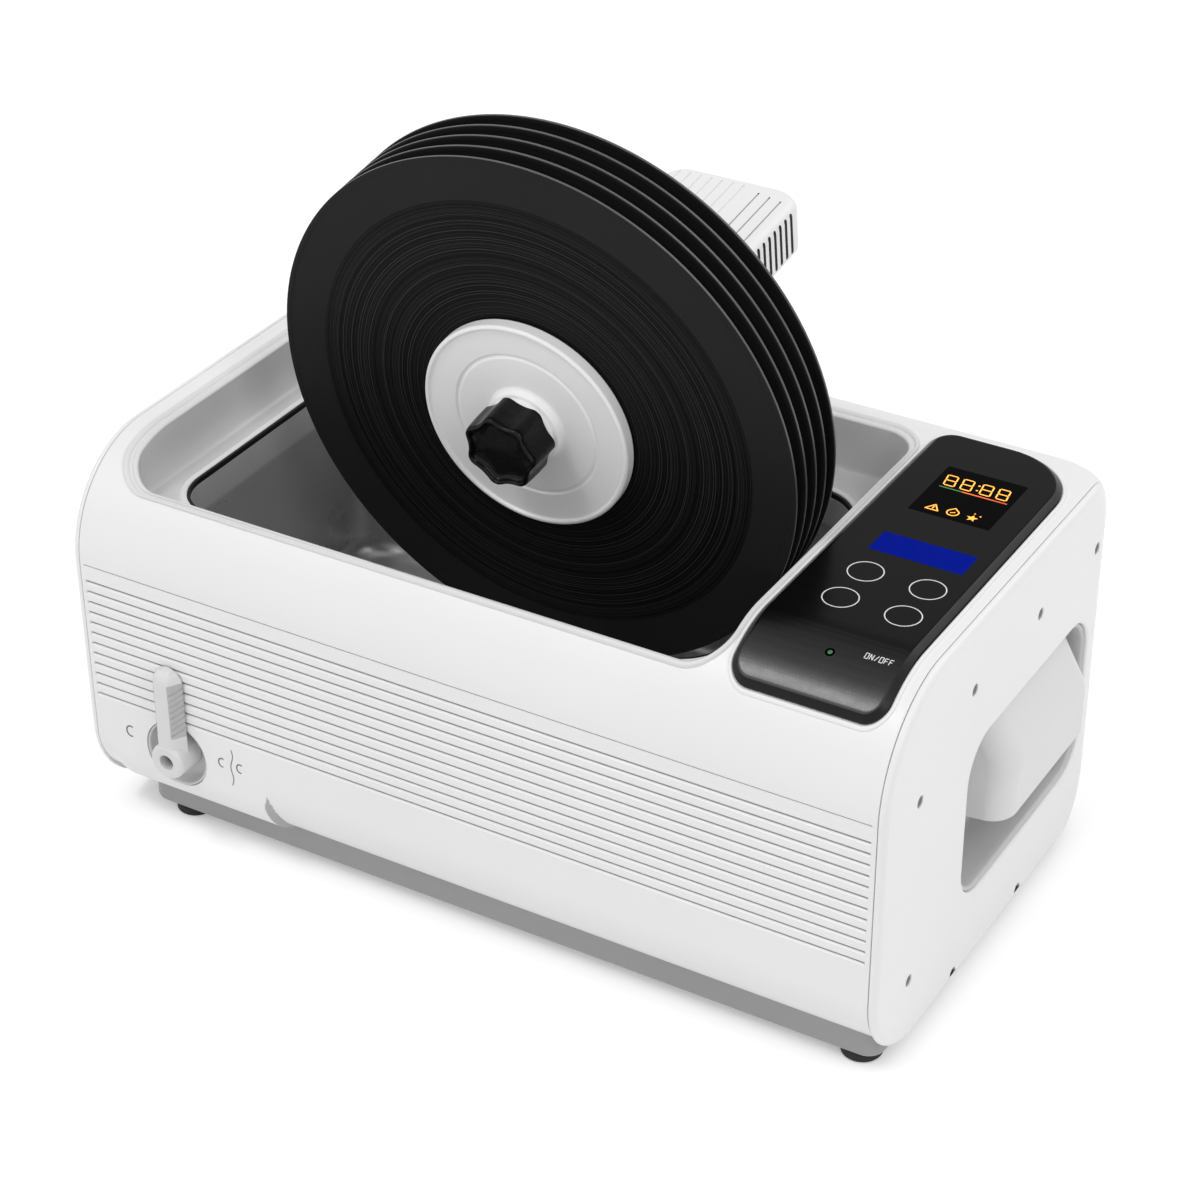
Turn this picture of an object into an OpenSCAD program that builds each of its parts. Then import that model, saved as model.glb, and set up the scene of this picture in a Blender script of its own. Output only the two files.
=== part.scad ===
// Ultrasonic record cleaning machine, millimetres, Z up, standing on its feet.
// X runs along the casing, Y from the front to the back. The origin is the
// floor point under the middle of the whole machine's outline.

/* [Casing] */
// Height of the casing's flat top above the floor
case_h = 225; // [210:1:260]
// Radius of the casing's top front edge
front_top_r = 60; // [45:1:66]
// Radius of the casing's top rear edge
rear_top_r = 29; // [20:1:40]
// Radius of the casing's bottom edges
bottom_r = 40; // [24:1:44]
// Thickness of the moulded walls
wall = 3; // [2.5:0.1:3.6]
// Space from the tank to the shell's left end
left_margin = 36; // [34:1:60]
// Space from the tank to the shell's right end, which holds the controls
control_bay = 112; // [108:1:150]
// Space from the tank to the front face
front_margin = 34; // [34:1:60]
// Space from the tank to the back face
rear_bay = 67; // [62:1:110]
// How far an end cap stands out past the shell
cap_t = 4.5; // [4:0.1:6]
// Radius of the end caps' upright rear corners
cap_rear_r = 35; // [24:1:40]
// Number of fine grooves on the front
groove_count = 12; // [6:1:14]
// Spacing of the fine grooves
groove_pitch = 6.48; // [5:0.01:7]

/* [Tank] */
// Inside length of the tank
tank_l = 320; // [318:1:400]
// Inside width of the tank, front to back
tank_w = 183; // [176:1:240]
// Depth of the tank below its rim
tank_depth = 118; // [114:1:124]
// Corner radius of the tank
tank_r = 28; // [20:1:40]
// Thickness of the tank's steel
tank_t = 1.5; // [1:0.1:2]
// Depth of the surround from the casing's top to its ledge
surround_depth = 30; // [26:1:40]

/* [Records] */
// Diameter of a record
record_d = 301.6; // [250:0.1:302]
// Thickness of a record
record_t = 2; // [1.8:0.1:3]
// Spacing of the records on the spindle
record_pitch = 10.46; // [9:0.01:11]
// Diameter of the spindle where the records sit
spindle_d = 7.1; // [7:0.1:7.2]
// Height of the spindle above the casing's top, at the front record
spindle_rise = 33; // [30:1:60]
// Lean of the motor head, nose down
head_lean = 8.3; // [0:0.1:10]
// Diameter of the clamp plates
clamp_d = 120; // [90:1:130]
// Diameter of the clamp knob over its lobes
knob_d = 43; // [38:1:54]

/* [Motor head] */
// Width of the motor housing
head_w = 84; // [84:1:110]
// Height of the motor housing
head_h = 34; // [34:1:50]
// Distance from the front record to the back of the motor housing
head_back = 221; // [216:1:240]
// Distance from the front record to the front of the motor housing
head_front = 112; // [100:1:118]
// Teeth on the motor pinion
pinion_teeth = 12; // [12:1:14]
// Teeth on the spindle gear
gear_teeth = 24; // [20:1:24]
// Gear module
gear_module = 1; // [0.9:0.05:1]
// Width of the sliding column
column_w = 40; // [30:1:46]
// Thickness of the sliding column
column_t = 14; // [12:1:16]
// How far the motor head lifts
lift_travel = 110; // [60:1:115]

/* [Drain valve] */
// Height of the drain valve's axis
valve_h = 60; // [58:0.5:64]
// Diameter of the round recess behind the lever
recess_d = 40; // [34:1:44]
// Distance from the valve's axis to the lever's tip
lever_reach = 57; // [45:1:60]
// Diameter of the outlet hole
outlet_d = 9; // [7:0.5:10]

/* [Handles] */
// Height of a handle opening
window_h = 98; // [90:1:110]
// Length of a handle opening
window_l = 150; // [120:1:155]
// How far a handle hood stands out past its end cap
hood_out = 9; // [6:0.5:14]

/* [Controls] */
// Rise of the control fascia above the casing
fascia_rise = 4; // [2:0.5:5]
// Width of the display window
display_w = 45; // [36:1:52]
// Length of the display window, front to back
display_l = 50; // [40:1:56]

/* [Hidden] */
$fn = 72;

// Clearances
gap = 0.3;
run_gap = 0.05;
eps = 0.02;

// Casing frame: X = 0 in the middle, Y = 0 at the front face, Z = 0 on the floor
case_l = left_margin + tank_l + control_bay;
case_d = front_margin + tank_w + rear_bay;
shell_x = case_l / 2;
cap_x = shell_x + cap_t;
foot_h = 6;
seam_z = 83 + (groove_count + 0.5) * groove_pitch;
foot_r = 11;
foot_y = 32;
shell_z = 18;
cap_z = 9;
base_x0 = -cap_x + 21;
base_x1 = cap_x - 6.5;
foot_x = [base_x0 + 22, base_x1 - 14];
base_y = 20;
base_t = 2.5;
base_lip_z = shell_z + 8;
base_corner_r = 10;

// Tank and surround
tank_x0 = -shell_x + left_margin;
tank_x1 = tank_x0 + tank_l;
tank_y0 = front_margin;
tank_y1 = tank_y0 + tank_w;
tank_xc = (tank_x0 + tank_x1) / 2;
tank_yc = (tank_y0 + tank_y1) / 2;
open_side = 16;
open_back = 26;
open_r = 20;
open_x0 = tank_x0 - open_side;
open_x1 = tank_x1 + open_side;
open_y0 = tank_y0 - open_side;
open_y1 = tank_y1 + open_back;
lip_wide = 10;
lip_slim = 3;
lip_rise = 1.5;
lip_under = 2;
surround_t = 2.5;
ledge_z = case_h - surround_depth;
rim_w = 4;
rim_rise = 1.5;
gasket_t = 1.6;
ledge_t = 2;
rim_z = ledge_z - ledge_t;
tank_z = rim_z - tank_depth;
flange_w = 8;

// Spindle frame: origin on the axis at the front record's front face
record_count = 5;
spindle_offset = 19;
spindle_x = tank_xc + spindle_offset;
spindle_y = tank_y0 + 76;
spindle_z = case_h + spindle_rise;
stack_end = (record_count - 1) * record_pitch + record_t;
clamp_t = 8;
clamp_rim = 3;
hub_r = 18;
hub_t = 5;
spacer_r = 49;
hole_r = spindle_d / 2 + run_gap;
thread_r = 3;
knob_back = clamp_t + hub_t;
knob_t = 20;
knob_lobes = 7;

// Motor head
head_r = 10;
head_edge_r = 6;
head_wall = 2.5;
head_top = head_h / 2 - 1;
head_bottom = head_top - head_h;
cover_t = 6;
vent_count = 9;
vent_pitch = 6.28;
vent_w = 2.8;
vent_h = 25.4;
vent_last = head_back - 14.8;
rib_pitch = 6.7;
rib_first = -33;
slit_first = 18.5;
slit_pitch = 7.5;
centre_gap = gear_module * (gear_teeth + pinion_teeth) / 2;
gear_y = head_front + cover_t + 8;
gear_t = 7;
plate_y = gear_y + gear_t + 3;
plate_t = 3;
motor_y = plate_y + plate_t;
motor_r = 12;
motor_l = 35;
bearing_r = 9.5;
bearing_l = 6;
shaft_r = 4;
pinion_bore_r = 1.5;

// Column and its guide on the back of the casing
column_y = case_d + 3;
column_z0 = 40;
bracket_wall = 4;
bracket_z0 = column_z0 - 5;
bracket_z1 = 190;
neck_back = (column_y + column_t / 2 - spindle_y + head_bottom * sin(head_lean)) / cos(head_lean);
neck_z = spindle_z + neck_back * sin(head_lean) + head_bottom * cos(head_lean) + head_wall + 2;
lock_z = 150;
lock_r = 14;
lock_screw_r = 3;

// Controls
fascia_gap = 5.5;
fascia_edge = 8;
fascia_x0 = open_x1 + fascia_gap;
fascia_x1 = shell_x - fascia_edge;
fascia_y0 = front_top_r - (front_top_r + fascia_rise) * sin(46.5);
fascia_y1 = case_d - rear_top_r;
fascia_xc = (fascia_x0 + fascia_x1) / 2;
display_y1 = fascia_y1 - 35;
display_x = fascia_xc + 2;
lens_t = 1.2;
inlay_t = 0.4;
key_x = fascia_xc + 5;
key_gap_x = 33.3;
key_y = 78;
key_gap_y = 27.3;
key_r = 9.4;
label_w = 51;
label_l = 19;
label_y = 125.5;
led_x = fascia_xc + 3;
led_y = 38;

// Drain valve
valve_x = -shell_x + 54;
boss_r = 24;
boss_up = 5.1;
boss_x0 = -shell_x + 8;
boss_x1 = valve_x + 62;
lever_w = 9;
lever_wide = 19;
lever_front = 9.5;
lever_back = 1;
rib_turn = atan2((lever_wide - lever_w) / 2, lever_front - lever_back);
lever_hub_r = 10.5;
cup_depth = 9;
cup_t = 2;
plug_r = 7;
body_y0 = cup_depth + cup_t;
body_l = 24;
body_r = 12;
drain_y = tank_y0 + 26;
drain_r = 6;

// Handles
window_y0 = 96.5;
window_z0 = 53;
window_r = 23;
hood_wall = 3;
hood_z0 = window_z0 + 35;
hood_z1 = hood_z0 + 29;
hood_slope = 19;
pocket_in = 26;
recess_x = cap_x - 14;
frame_t = 1.5;
frame_x = shell_x - 6;
cap_in = wall + gap + 2;
stop_w = 4;
screw_r = 1.5;
screw_head_r = 3.2;
screw_head_t = 1.8;
cap_screws = [
    [38, 157], [38, 48.6], [96, case_h - 38], [175, case_h - 38],
    [case_d - 36, case_h - 38], [94, cap_z + 5], [175, cap_z + 5]
];
low_screws = [[94, cap_z + 5], [175, cap_z + 5]];

// Electronics
fan_size = 60;
board_x0 = tank_x1 + 14;
board_x1 = shell_x - pocket_in - 6;
board_y0 = 50;
board_y1 = case_d - 54;
board_z = 34;
board_t = 1.6;
bay_x = cap_x - cap_rear_r - fan_size / 2 - 4;
fan_z = 128;
fan_t = 20;
inlet_z = 76;

// The origin lies midway between the lever's front and the motor head's back
head_reach = head_back * cos(head_lean) - head_bottom * sin(head_lean);
origin_y = (spindle_y + head_reach - lever_front) / 2;

module place() {
    translate([0, -origin_y, 0]) children();
}

module on_spindle() {
    place() translate([spindle_x, spindle_y, spindle_z]) rotate([head_lean, 0, 0]) children();
}

// An outline with four corner radii, in the order of its polygon's corners
module rounded(x0, x1, y0, y1, r) {
    polygon([
        [x0 + r[0], y0], [x1 - r[1], y0], [x1, y0 + r[1]], [x1, y1 - r[2]],
        [x1 - r[2], y1], [x0 + r[3], y1], [x0, y1 - r[3]], [x0, y0 + r[0]]
    ]);
    translate([x0 + r[0], y0 + r[0]]) circle(r[0]);
    translate([x1 - r[1], y0 + r[1]]) circle(r[1]);
    translate([x1 - r[2], y1 - r[2]]) circle(r[2]);
    translate([x0 + r[3], y1 - r[3]]) circle(r[3]);
}

// The casing's side view, in by a given inset
module side_outline(inset = 0, low_r = bottom_r) {
    rounded(inset, case_d - inset, shell_z + inset, case_h - inset,
        [low_r - inset, bottom_r - inset, rear_top_r - inset, front_top_r - inset]);
}

// The end caps' side view, which reaches lower than the shell
module cap_outline(inset) {
    rounded(inset, case_d - inset, cap_z + inset, case_h - inset,
        [bottom_r + 10 - inset, bottom_r - 8 - inset, rear_top_r - inset, front_top_r - inset]);
}

// The casing's plan view, with its rounded rear corners
module plan_outline(inset) {
    x = cap_x - inset + 0.5;
    y = case_d - inset + 0.5;
    r = cap_rear_r - inset;
    polygon([[-x, -2], [x, -2], [x, y - r], [x - r, y], [-x + r, y], [-x, y - r]]);
    for (s = [-1, 1]) translate([s * (x - r), y - r]) circle(r);
}

module casing_block(x0, x1, inset, low_r = bottom_r) {
    intersection() {
        along_x(x0, x1) side_outline(inset, low_r);
        linear_extrude(case_h + 9) plan_outline(inset);
    }
}

// Extrudes an outline drawn in Y and Z along X
module along_x(x0, x1) {
    translate([x0, 0, 0]) rotate([90, 0, 90]) linear_extrude(x1 - x0) children();
}

// Extrudes an outline drawn in X and Z along Y
module along_y(y0, y1) {
    translate([0, y1, 0]) rotate([90, 0, 0]) linear_extrude(y1 - y0) children();
}

module rod_y(r, y0, y1) {
    translate([0, y1, 0]) rotate([90, 0, 0]) cylinder(r = r, h = y1 - y0);
}

module rod_x(r, x0, x1) {
    translate([x0, 0, 0]) rotate([0, 90, 0]) cylinder(r = r, h = x1 - x0);
}

module upright(x0, x1, y0, y1, z0, z1, r) {
    translate([0, 0, z0]) linear_extrude(z1 - z0) rounded(x0, x1, y0, y1, [r, r, r, r]);
}

module tank_prism(out, z0, z1) {
    upright(tank_x0 - out, tank_x1 + out, tank_y0 - out, tank_y1 + out, z0, z1, tank_r + out);
}

module opening_prism(out, z0, z1) {
    upright(open_x0 - out, open_x1 + out, open_y0 - out, open_y1 + out, z0, z1, open_r + out);
}

// The lip's outer outline is wide on the left and back, slim at the front and right
module lip_prism(inset, z0, z1) {
    upright(open_x0 - lip_wide + inset, open_x1 + lip_slim - inset,
        open_y0 - lip_slim + inset, open_y1 + lip_wide - inset, z0, z1, open_r + lip_slim - inset);
}

module foot_places() {
    for (x = foot_x) for (y = [foot_y, case_d - foot_y]) translate([x, y, 0]) children();
}

module base_tray() {
    color([0.66, 0.66, 0.66]) place() difference() {
        upright(base_x0, base_x1, base_y, case_d - base_y, foot_h, base_lip_z, base_corner_r);
        upright(base_x0 + base_t, base_x1 - base_t, base_y + base_t,
            case_d - base_y - base_t, foot_h + base_t, base_lip_z + 1, base_corner_r - base_t);
        foot_places() cylinder(r = 2 + run_gap, h = foot_h + base_t + 1);
        for (i = [0 : 7])
            upright(-60 + i * 16, -54 + i * 16, tank_yc - 40, tank_yc + 40,
                foot_h - 1, foot_h + base_t + 1, 2.9);
        for (s = low_screws) translate([0, s[0], s[1]]) rod_x(4 + gap, frame_x, cap_x);
        standoff_places() cylinder(r = 1.5, h = foot_h + base_t + 1);
    }
}

module rubber_feet() {
    color([0.12, 0.12, 0.12]) place() foot_places() difference() {
        cylinder(r = foot_r, h = foot_h);
        translate([0, 0, -1]) cylinder(r = 4, h = 3);
        cylinder(r = 2 + run_gap, h = foot_h + 1);
    }
}

// A screw with its nut, which holds a given thickness together
module frame_screw(held) {
    cylinder(r = 2, h = 10);
    translate([0, 0, -1.5]) cylinder(r = 3.6, h = 1.5);
    translate([0, 0, held]) cylinder(r = 3.5, h = 2.5);
}

// The same screws hold the feet to the base tray and the bracket to the casing
module frame_screws() {
    color([0.72, 0.72, 0.74]) place() {
        foot_places() translate([0, 0, 2]) frame_screw(foot_h + base_t - 2);
        bracket_screw_places() translate([0, case_d + 3, 0]) rotate([90, 0, 0]) frame_screw(3 + wall);
    }
}

module groove(z, w, deep) {
    translate([0, 0, z]) along_x(-shell_x + 3, shell_x - 3)
        polygon([[-1, -w], [deep, -0.3], [deep, 0.3], [-1, w]]);
}

module boss_outline(inset) {
    intersection() {
        rounded(inset, case_d - inset, shell_z + boss_up + inset, case_h - inset,
            [boss_r - inset, bottom_r - inset, rear_top_r - inset, front_top_r - inset]);
        square([case_d / 3, case_h / 2]);
    }
}

// The whole casing skin, which is made in three parts
module casing_skin() {
    difference() {
        union() {
            intersection() {
                along_x(-shell_x, shell_x) side_outline();
                linear_extrude(case_h + 9) plan_outline(0);
            }
            along_x(boss_x0, boss_x1) boss_outline(0);
        }
        casing_block(-shell_x - 1, shell_x + 1, wall);
        along_x(boss_x0 + wall, boss_x1 - wall) boss_outline(wall);
        translate([-shell_x - 1, base_y - gap, 0])
            cube([case_l + 2, case_d - 2 * (base_y - gap), base_lip_z + 4]);
        lip_prism(2, case_h / 2, case_h + 2);
        for (i = [0 : groove_count - 1]) groove(83 + i * groove_pitch, 1, 1);
        groove(seam_z, 0.8, 1.2);
        translate([valve_x, 0, valve_h]) rod_y(recess_d / 2, -1, wall + 1);
        upright(fascia_x0 + 8, fascia_x1 - 8, front_top_r + 2, fascia_y1 - 30,
            case_h - wall - 1, case_h + 1, 4);
        translate([led_x, led_y, case_h / 2]) cylinder(r = 2, h = case_h);
        translate([bay_x, 0, fan_z]) rod_y(fan_size / 2 - 2, case_d - wall - 1, case_d + 1);
        translate([bay_x - 24, case_d - wall - 1, inlet_z - 14]) cube([48, wall + 2, 28]);
        bracket_screw_places() rod_y(2 + run_gap, case_d - wall - 1, case_d + 1);
    }
}

module skin_part(y0, y1, z0, z1) {
    color([0.95, 0.95, 0.95]) place() intersection() {
        casing_skin();
        translate([-cap_x, y0, z0]) cube([2 * cap_x, y1 - y0, z1 - z0]);
    }
}

// The top and its curved front meet the front and rear panels at the seam
module top_cover() {
    skin_part(-9, case_d + 9, seam_z, case_h + 9);
}

module front_panel() {
    skin_part(-9, case_d / 2, 0, seam_z);
}

module rear_panel() {
    skin_part(case_d / 2, case_d + 9, 0, seam_z);
}

// A sheet steel frame inside each end carries the end cap, and rests on the base tray's end wall
module side_frame(tray_x) {
    low = tray_x < frame_x ? tray_x : frame_x - frame_t;
    high = tray_x < frame_x ? frame_x : tray_x;
    difference() {
        union() {
            intersection() {
                casing_block(frame_x - frame_t, frame_x, wall + gap);
                translate([0, 0, base_lip_z]) cube([cap_x, case_d, case_h]);
            }
            translate([frame_x - frame_t, 78, foot_h + base_t + gap])
                cube([frame_t, 114, base_lip_z - foot_h - base_t]);
            translate([low, base_y + 20, base_lip_z]) cube([high - low, case_d - 2 * base_y - 40, frame_t]);
        }
        along_x(frame_x - 3, frame_x + 1) window_outline(1.5);
        for (s = cap_screws) translate([0, s[0], s[1]]) rod_x(screw_r + run_gap, frame_x - 3, frame_x + 1);
    }
}

module left_side_frame() {
    color([0.75, 0.76, 0.78]) place() mirror([1, 0, 0]) side_frame(-base_x0 - base_t);
}

module right_side_frame() {
    color([0.75, 0.76, 0.78]) place() side_frame(base_x1);
}

module window_outline(out) {
    rounded(window_y0 - out, window_y0 + window_l + out, window_z0 - out, window_z0 + window_h + out,
        [1, 1, 1, 1] * (window_r + out));
}

// The cap's face is stepped in round its edge, and its rear corners are rounded in plan
module end_cap() {
    inner_x = shell_x + 0.2;
    inside_x = cap_x - cap_in;
    difference() {
        union() {
            intersection() {
                union() {
                    along_x(inner_x, cap_x - 2.8) cap_outline(0);
                    along_x(inner_x, cap_x - 1.5) cap_outline(0.6);
                    along_x(inner_x, cap_x - 0.6) cap_outline(1.6);
                    along_x(inner_x, cap_x) cap_outline(3);
                }
                linear_extrude(case_h + 9) plan_outline(0);
            }
            casing_block(frame_x + gap, inner_x + 1, wall + gap);
        }
        casing_block(frame_x, inside_x, cap_in);
        along_x(frame_x, cap_x + 1) window_outline(0);
        translate([frame_x - 1, base_y - gap, 0])
            cube([inside_x - frame_x + 1, case_d - 2 * (base_y - gap), base_lip_z + 4]);
        cap_screw_holes();
    }
    difference() {
        for (s = cap_screws) translate([0, s[0], s[1]]) rod_x(4, frame_x, inside_x + 1);
        cap_screw_holes();
    }
}

module cap_screw_holes() {
    for (s = cap_screws) translate([0, s[0], s[1]]) {
        rod_x(screw_r + run_gap, frame_x - 1, cap_x + 1);
        rod_x(screw_head_r + run_gap, cap_x - screw_head_t - 0.4, cap_x + 1);
    }
}

module left_end_cap() {
    color([0.94, 0.94, 0.94]) place() mirror([1, 0, 0]) end_cap();
}

module right_end_cap() {
    color([0.94, 0.94, 0.94]) place() end_cap();
}

// A handle is a pocket that closes the window, with a hood that stands out over its upper part
module handle() {
    hood_x = cap_x + hood_out;
    pocket_x = shell_x - pocket_in;
    hood_y0 = window_y0 + 30;
    hood_y1 = window_y0 + window_l - 12;
    top_z = window_z0 + window_h - gap;
    difference() {
        union() {
            difference() {
                union() {
                    along_x(pocket_x, cap_x - 2) window_outline(-gap);
                    along_x(frame_x, cap_x - cap_in - 0.1) window_outline(stop_w);
                }
                along_x(recess_x, cap_x) window_outline(-gap - 3);
            }
            intersection() {
                along_y(hood_y0, hood_y1)
                    polygon([
                        [pocket_x, hood_z0], [hood_x, hood_z0], [hood_x, hood_z1],
                        [hood_x - hood_slope, top_z], [pocket_x, top_z]
                    ]);
                along_x(pocket_x, hood_x) window_outline(-gap);
                linear_extrude(case_h) rounded(pocket_x - 30, hood_x, hood_y0, hood_y1, [5, 16, 14, 5]);
            }
        }
        along_x(pocket_x + hood_wall, cap_x + 20) intersection() {
            window_outline(-gap - 3);
            square([case_d, hood_z0 - 0.01]);
        }
        intersection() {
            along_x(pocket_x + hood_wall, hood_x - 2 * hood_wall)
                rounded(hood_y0 + hood_wall, hood_y1 - hood_wall, hood_z0 - 1, hood_z1 + 3,
                    [3, 3, 12, 12]);
            linear_extrude(case_h)
                rounded(pocket_x, hood_x - 2 * hood_wall, hood_y0 + hood_wall, hood_y1 - hood_wall,
                    [1, 12, 10, 1]);
        }
    }
}

module left_handle() {
    color([0.84, 0.84, 0.84]) place() mirror([1, 0, 0]) handle();
}

module right_handle() {
    color([0.84, 0.84, 0.84]) place() handle();
}

module end_cap_screws() {
    color([0.7, 0.7, 0.72]) place() for (m = [0, 1]) mirror([m, 0, 0])
        for (s = cap_screws) translate([0, s[0], s[1]]) difference() {
            union() {
                rod_x(screw_r, frame_x - 3, cap_x - screw_head_t);
                rod_x(screw_head_r, cap_x - screw_head_t - 0.4, cap_x - 0.4);
            }
            for (a = [0, 90]) translate([cap_x - 1.4, 0, 0]) rotate([a, 0, 0])
                translate([0, -1.8, -0.4]) cube([2, 3.6, 0.8]);
        }
}

module tank_surround() {
    color([0.8, 0.8, 0.8]) place() {
        difference() {
            intersection() {
                union() {
                    difference() {
                        lip_prism(0, case_h / 2, case_h + lip_rise + 1);
                        along_x(-shell_x, shell_x) side_outline();
                    }
                    lip_prism(2 + gap, ledge_z, case_h + 1);
                }
                along_x(-shell_x, shell_x) lip_outline();
            }
            opening_prism(0, ledge_z - 1, case_h + lip_rise + 2);
            difference() {
                lip_prism(2 + gap - 1, ledge_z - 1, case_h + 2);
                opening_prism(surround_t, ledge_z - 2, case_h + 3);
                along_x(-shell_x, shell_x) difference() {
                    square([case_d, case_h + 9]);
                    side_outline(lip_under);
                }
            }
            difference() {
                lip_prism(2.5, case_h / 2, case_h + 3);
                opening_prism(2.5, case_h / 2 - 1, case_h + 4);
                along_x(-shell_x - 1, shell_x + 1) side_outline(0.5);
            }
        }
        difference() {
            opening_prism(surround_t, ledge_z - 2, ledge_z);
            tank_prism(gasket_t, ledge_z - 3, ledge_z + 1);
        }
        difference() {
            tank_prism(gasket_t + rim_w, ledge_z - 0.5, ledge_z + rim_rise);
            tank_prism(gasket_t, ledge_z - 3, ledge_z + rim_rise + 1);
        }
    }
}

// The casing's side view grown by the lip's rise
module lip_outline() {
    rounded(-lip_rise, case_d + lip_rise, shell_z, case_h + lip_rise,
        [bottom_r, bottom_r, rear_top_r + lip_rise, front_top_r + lip_rise]);
}

module tank_gasket() {
    color([0.05, 0.05, 0.05]) place() difference() {
        tank_prism(gasket_t - eps, rim_z, ledge_z + rim_rise - 0.5);
        tank_prism(0, rim_z - 1, ledge_z + rim_rise + 1);
    }
}

module tank() {
    color([0.6, 0.6, 0.62]) place() difference() {
        union() {
            tank_prism(flange_w, rim_z - tank_t, rim_z);
            tank_prism(tank_t, tank_z - tank_t, rim_z);
        }
        tank_prism(0, tank_z, rim_z + 1);
        translate([valve_x, drain_y, tank_z - tank_t - 1]) cylinder(r = drain_r, h = tank_t + 2);
    }
}

module transducer_places() {
    for (i = [0 : 2]) for (j = [0 : 1])
        translate([tank_xc + (i - 1) * tank_l / 3.2, tank_yc + (j - 0.5) * tank_w / 2.1,
            tank_z - tank_t]) children();
}

module transducer_heads() {
    color([0.8, 0.8, 0.82]) place() transducer_places() difference() {
        translate([0, 0, -20]) cylinder(r1 = 19, r2 = 24, h = 20);
        translate([0, 0, -21]) cylinder(r = 4 + run_gap, h = 13);
    }
}

module piezo_discs() {
    color([0.85, 0.82, 0.7]) place() transducer_places() difference() {
        union() {
            translate([0, 0, -30]) cylinder(r = 19, h = 4.7);
            translate([0, 0, -25.5]) cylinder(r = 17, h = 0.6);
            translate([0, 0, -24.9]) cylinder(r = 19, h = 4.9);
        }
        translate([0, 0, -31]) cylinder(r = 7, h = 13);
    }
}

module transducer_tails() {
    color([0.55, 0.55, 0.58]) place() transducer_places() {
        translate([0, 0, -45]) cylinder(r = 19, h = 15);
        translate([0, 0, -45]) cylinder(r = 4, h = 36);
    }
}

module heater_pads() {
    color([0.75, 0.3, 0.15]) place() for (x = [tank_xc - tank_l / 4 - 4, tank_xc + tank_l / 4 + 4])
        translate([x - 45, tank_y0 - tank_t - 2, tank_z + 20]) cube([90, 2, 60]);
}

module drain_elbow() {
    bend_y = body_y0 + body_l;
    color([0.85, 0.85, 0.82]) place() translate([valve_x, 0, 0]) difference() {
        union() {
            translate([0, drain_y, tank_z - tank_t - 3]) cylinder(r = 11, h = 3);
            translate([0, drain_y, valve_h - drain_r - 3]) cylinder(r = drain_r + 2, h = tank_z - tank_t - valve_h + drain_r + 3);
            translate([0, 0, valve_h]) rod_y(drain_r + 2, bend_y, drain_y);
        }
        translate([0, drain_y, valve_h - drain_r]) cylinder(r = drain_r, h = tank_z);
        translate([0, 0, valve_h]) rod_y(drain_r, bend_y - 1, drain_y);
    }
}

// The plug turns in the body: it takes water in at its side and lets it out at its nose
module valve_body() {
    color([0.82, 0.82, 0.8]) place() translate([valve_x, 0, valve_h]) difference() {
        rod_y(body_r, body_y0, body_y0 + body_l);
        rod_y(plug_r + run_gap, body_y0 - 1, body_y0 + body_l - 6);
        rod_y(drain_r, body_y0 + body_l - 7, body_y0 + body_l + 1);
        translate([-plug_r - 2.5, body_y0 + 2, -2]) cube([plug_r + 2.5, body_l - 4, 4]);
    }
}

module valve_cup() {
    color([0.82, 0.82, 0.82]) place() translate([valve_x, 0, valve_h]) difference() {
        rod_y(recess_d / 2 - gap, 0.5, cup_depth + cup_t);
        rod_y(recess_d / 2 - gap - 1.6, 0, cup_depth);
        rod_y(plug_r + 0.5, cup_depth - 1, cup_depth + cup_t + 1);
    }
}

module valve_plug() {
    color([0.9, 0.9, 0.88]) place() translate([valve_x, 0, valve_h]) difference() {
        rod_y(plug_r, -lever_front + 6, body_y0 + body_l - 6.2);
        rod_y(outlet_d / 2, -lever_front, body_y0 + 8);
        translate([0, body_y0 + 5, -plug_r - 1]) cylinder(r = 2, h = plug_r + 1);
    }
}

module drain_lever() {
    color([0.83, 0.83, 0.83]) place() translate([valve_x, 0, valve_h]) difference() {
        union() {
            rod_y(lever_hub_r, -lever_front, cup_depth - 1);
            intersection() {
                linear_extrude(lever_reach)
                    polygon([
                        [-lever_w / 2, -lever_front], [lever_w / 2, -lever_front],
                        [lever_wide / 2, -lever_back], [-lever_wide / 2, -lever_back]
                    ]);
                along_x(-lever_wide, lever_wide)
                    rounded(-lever_front + 0.3, -lever_back, -5, lever_reach, [1, 1, 1, 7]);
                along_y(-lever_front, 0)
                    rounded(-lever_wide / 2, lever_wide / 2, -5, lever_reach, [1, 1, 9, 9]);
            }
        }
        rod_y(plug_r + 0.02, -lever_front + 6, cup_depth + 1);
        rod_y(outlet_d / 2, -lever_front - 1, 0);
        for (i = [0 : 7]) translate([lever_w / 2, -lever_front, 17.4 + i * 3.66])
            rotate([0, 0, -rib_turn]) rotate([20, 0, 0]) rotate([0, 45, 0])
                translate([-0.5, -1, -0.5]) cube([1, lever_front + 5, 1]);
    }
}

module standoff_places() {
    for (x = [board_x0 + 5, board_x1 - 5]) for (y = [board_y0 + 5, board_y1 - 5])
        translate([x, y, 0]) children();
}

// Each board stands on four posts that are fixed through the tray
module generator_board() {
    color([0.1, 0.35, 0.2]) place() {
        translate([board_x0, board_y0, board_z])
            cube([board_x1 - board_x0, board_y1 - board_y0, board_t]);
        standoff_places() {
            translate([0, 0, foot_h + base_t]) cylinder(r = 3, h = board_z - foot_h - base_t + 0.5);
            translate([0, 0, foot_h]) cylinder(r = 1.5 - run_gap, h = board_z - foot_h);
        }
    }
}

module board_capacitors() {
    color([0.15, 0.2, 0.45]) place() for (i = [0 : 2])
        translate([board_x1 - 13, board_y0 + 22 + i * 30, board_z + board_t]) cylinder(r = 10, h = 30);
}

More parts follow.
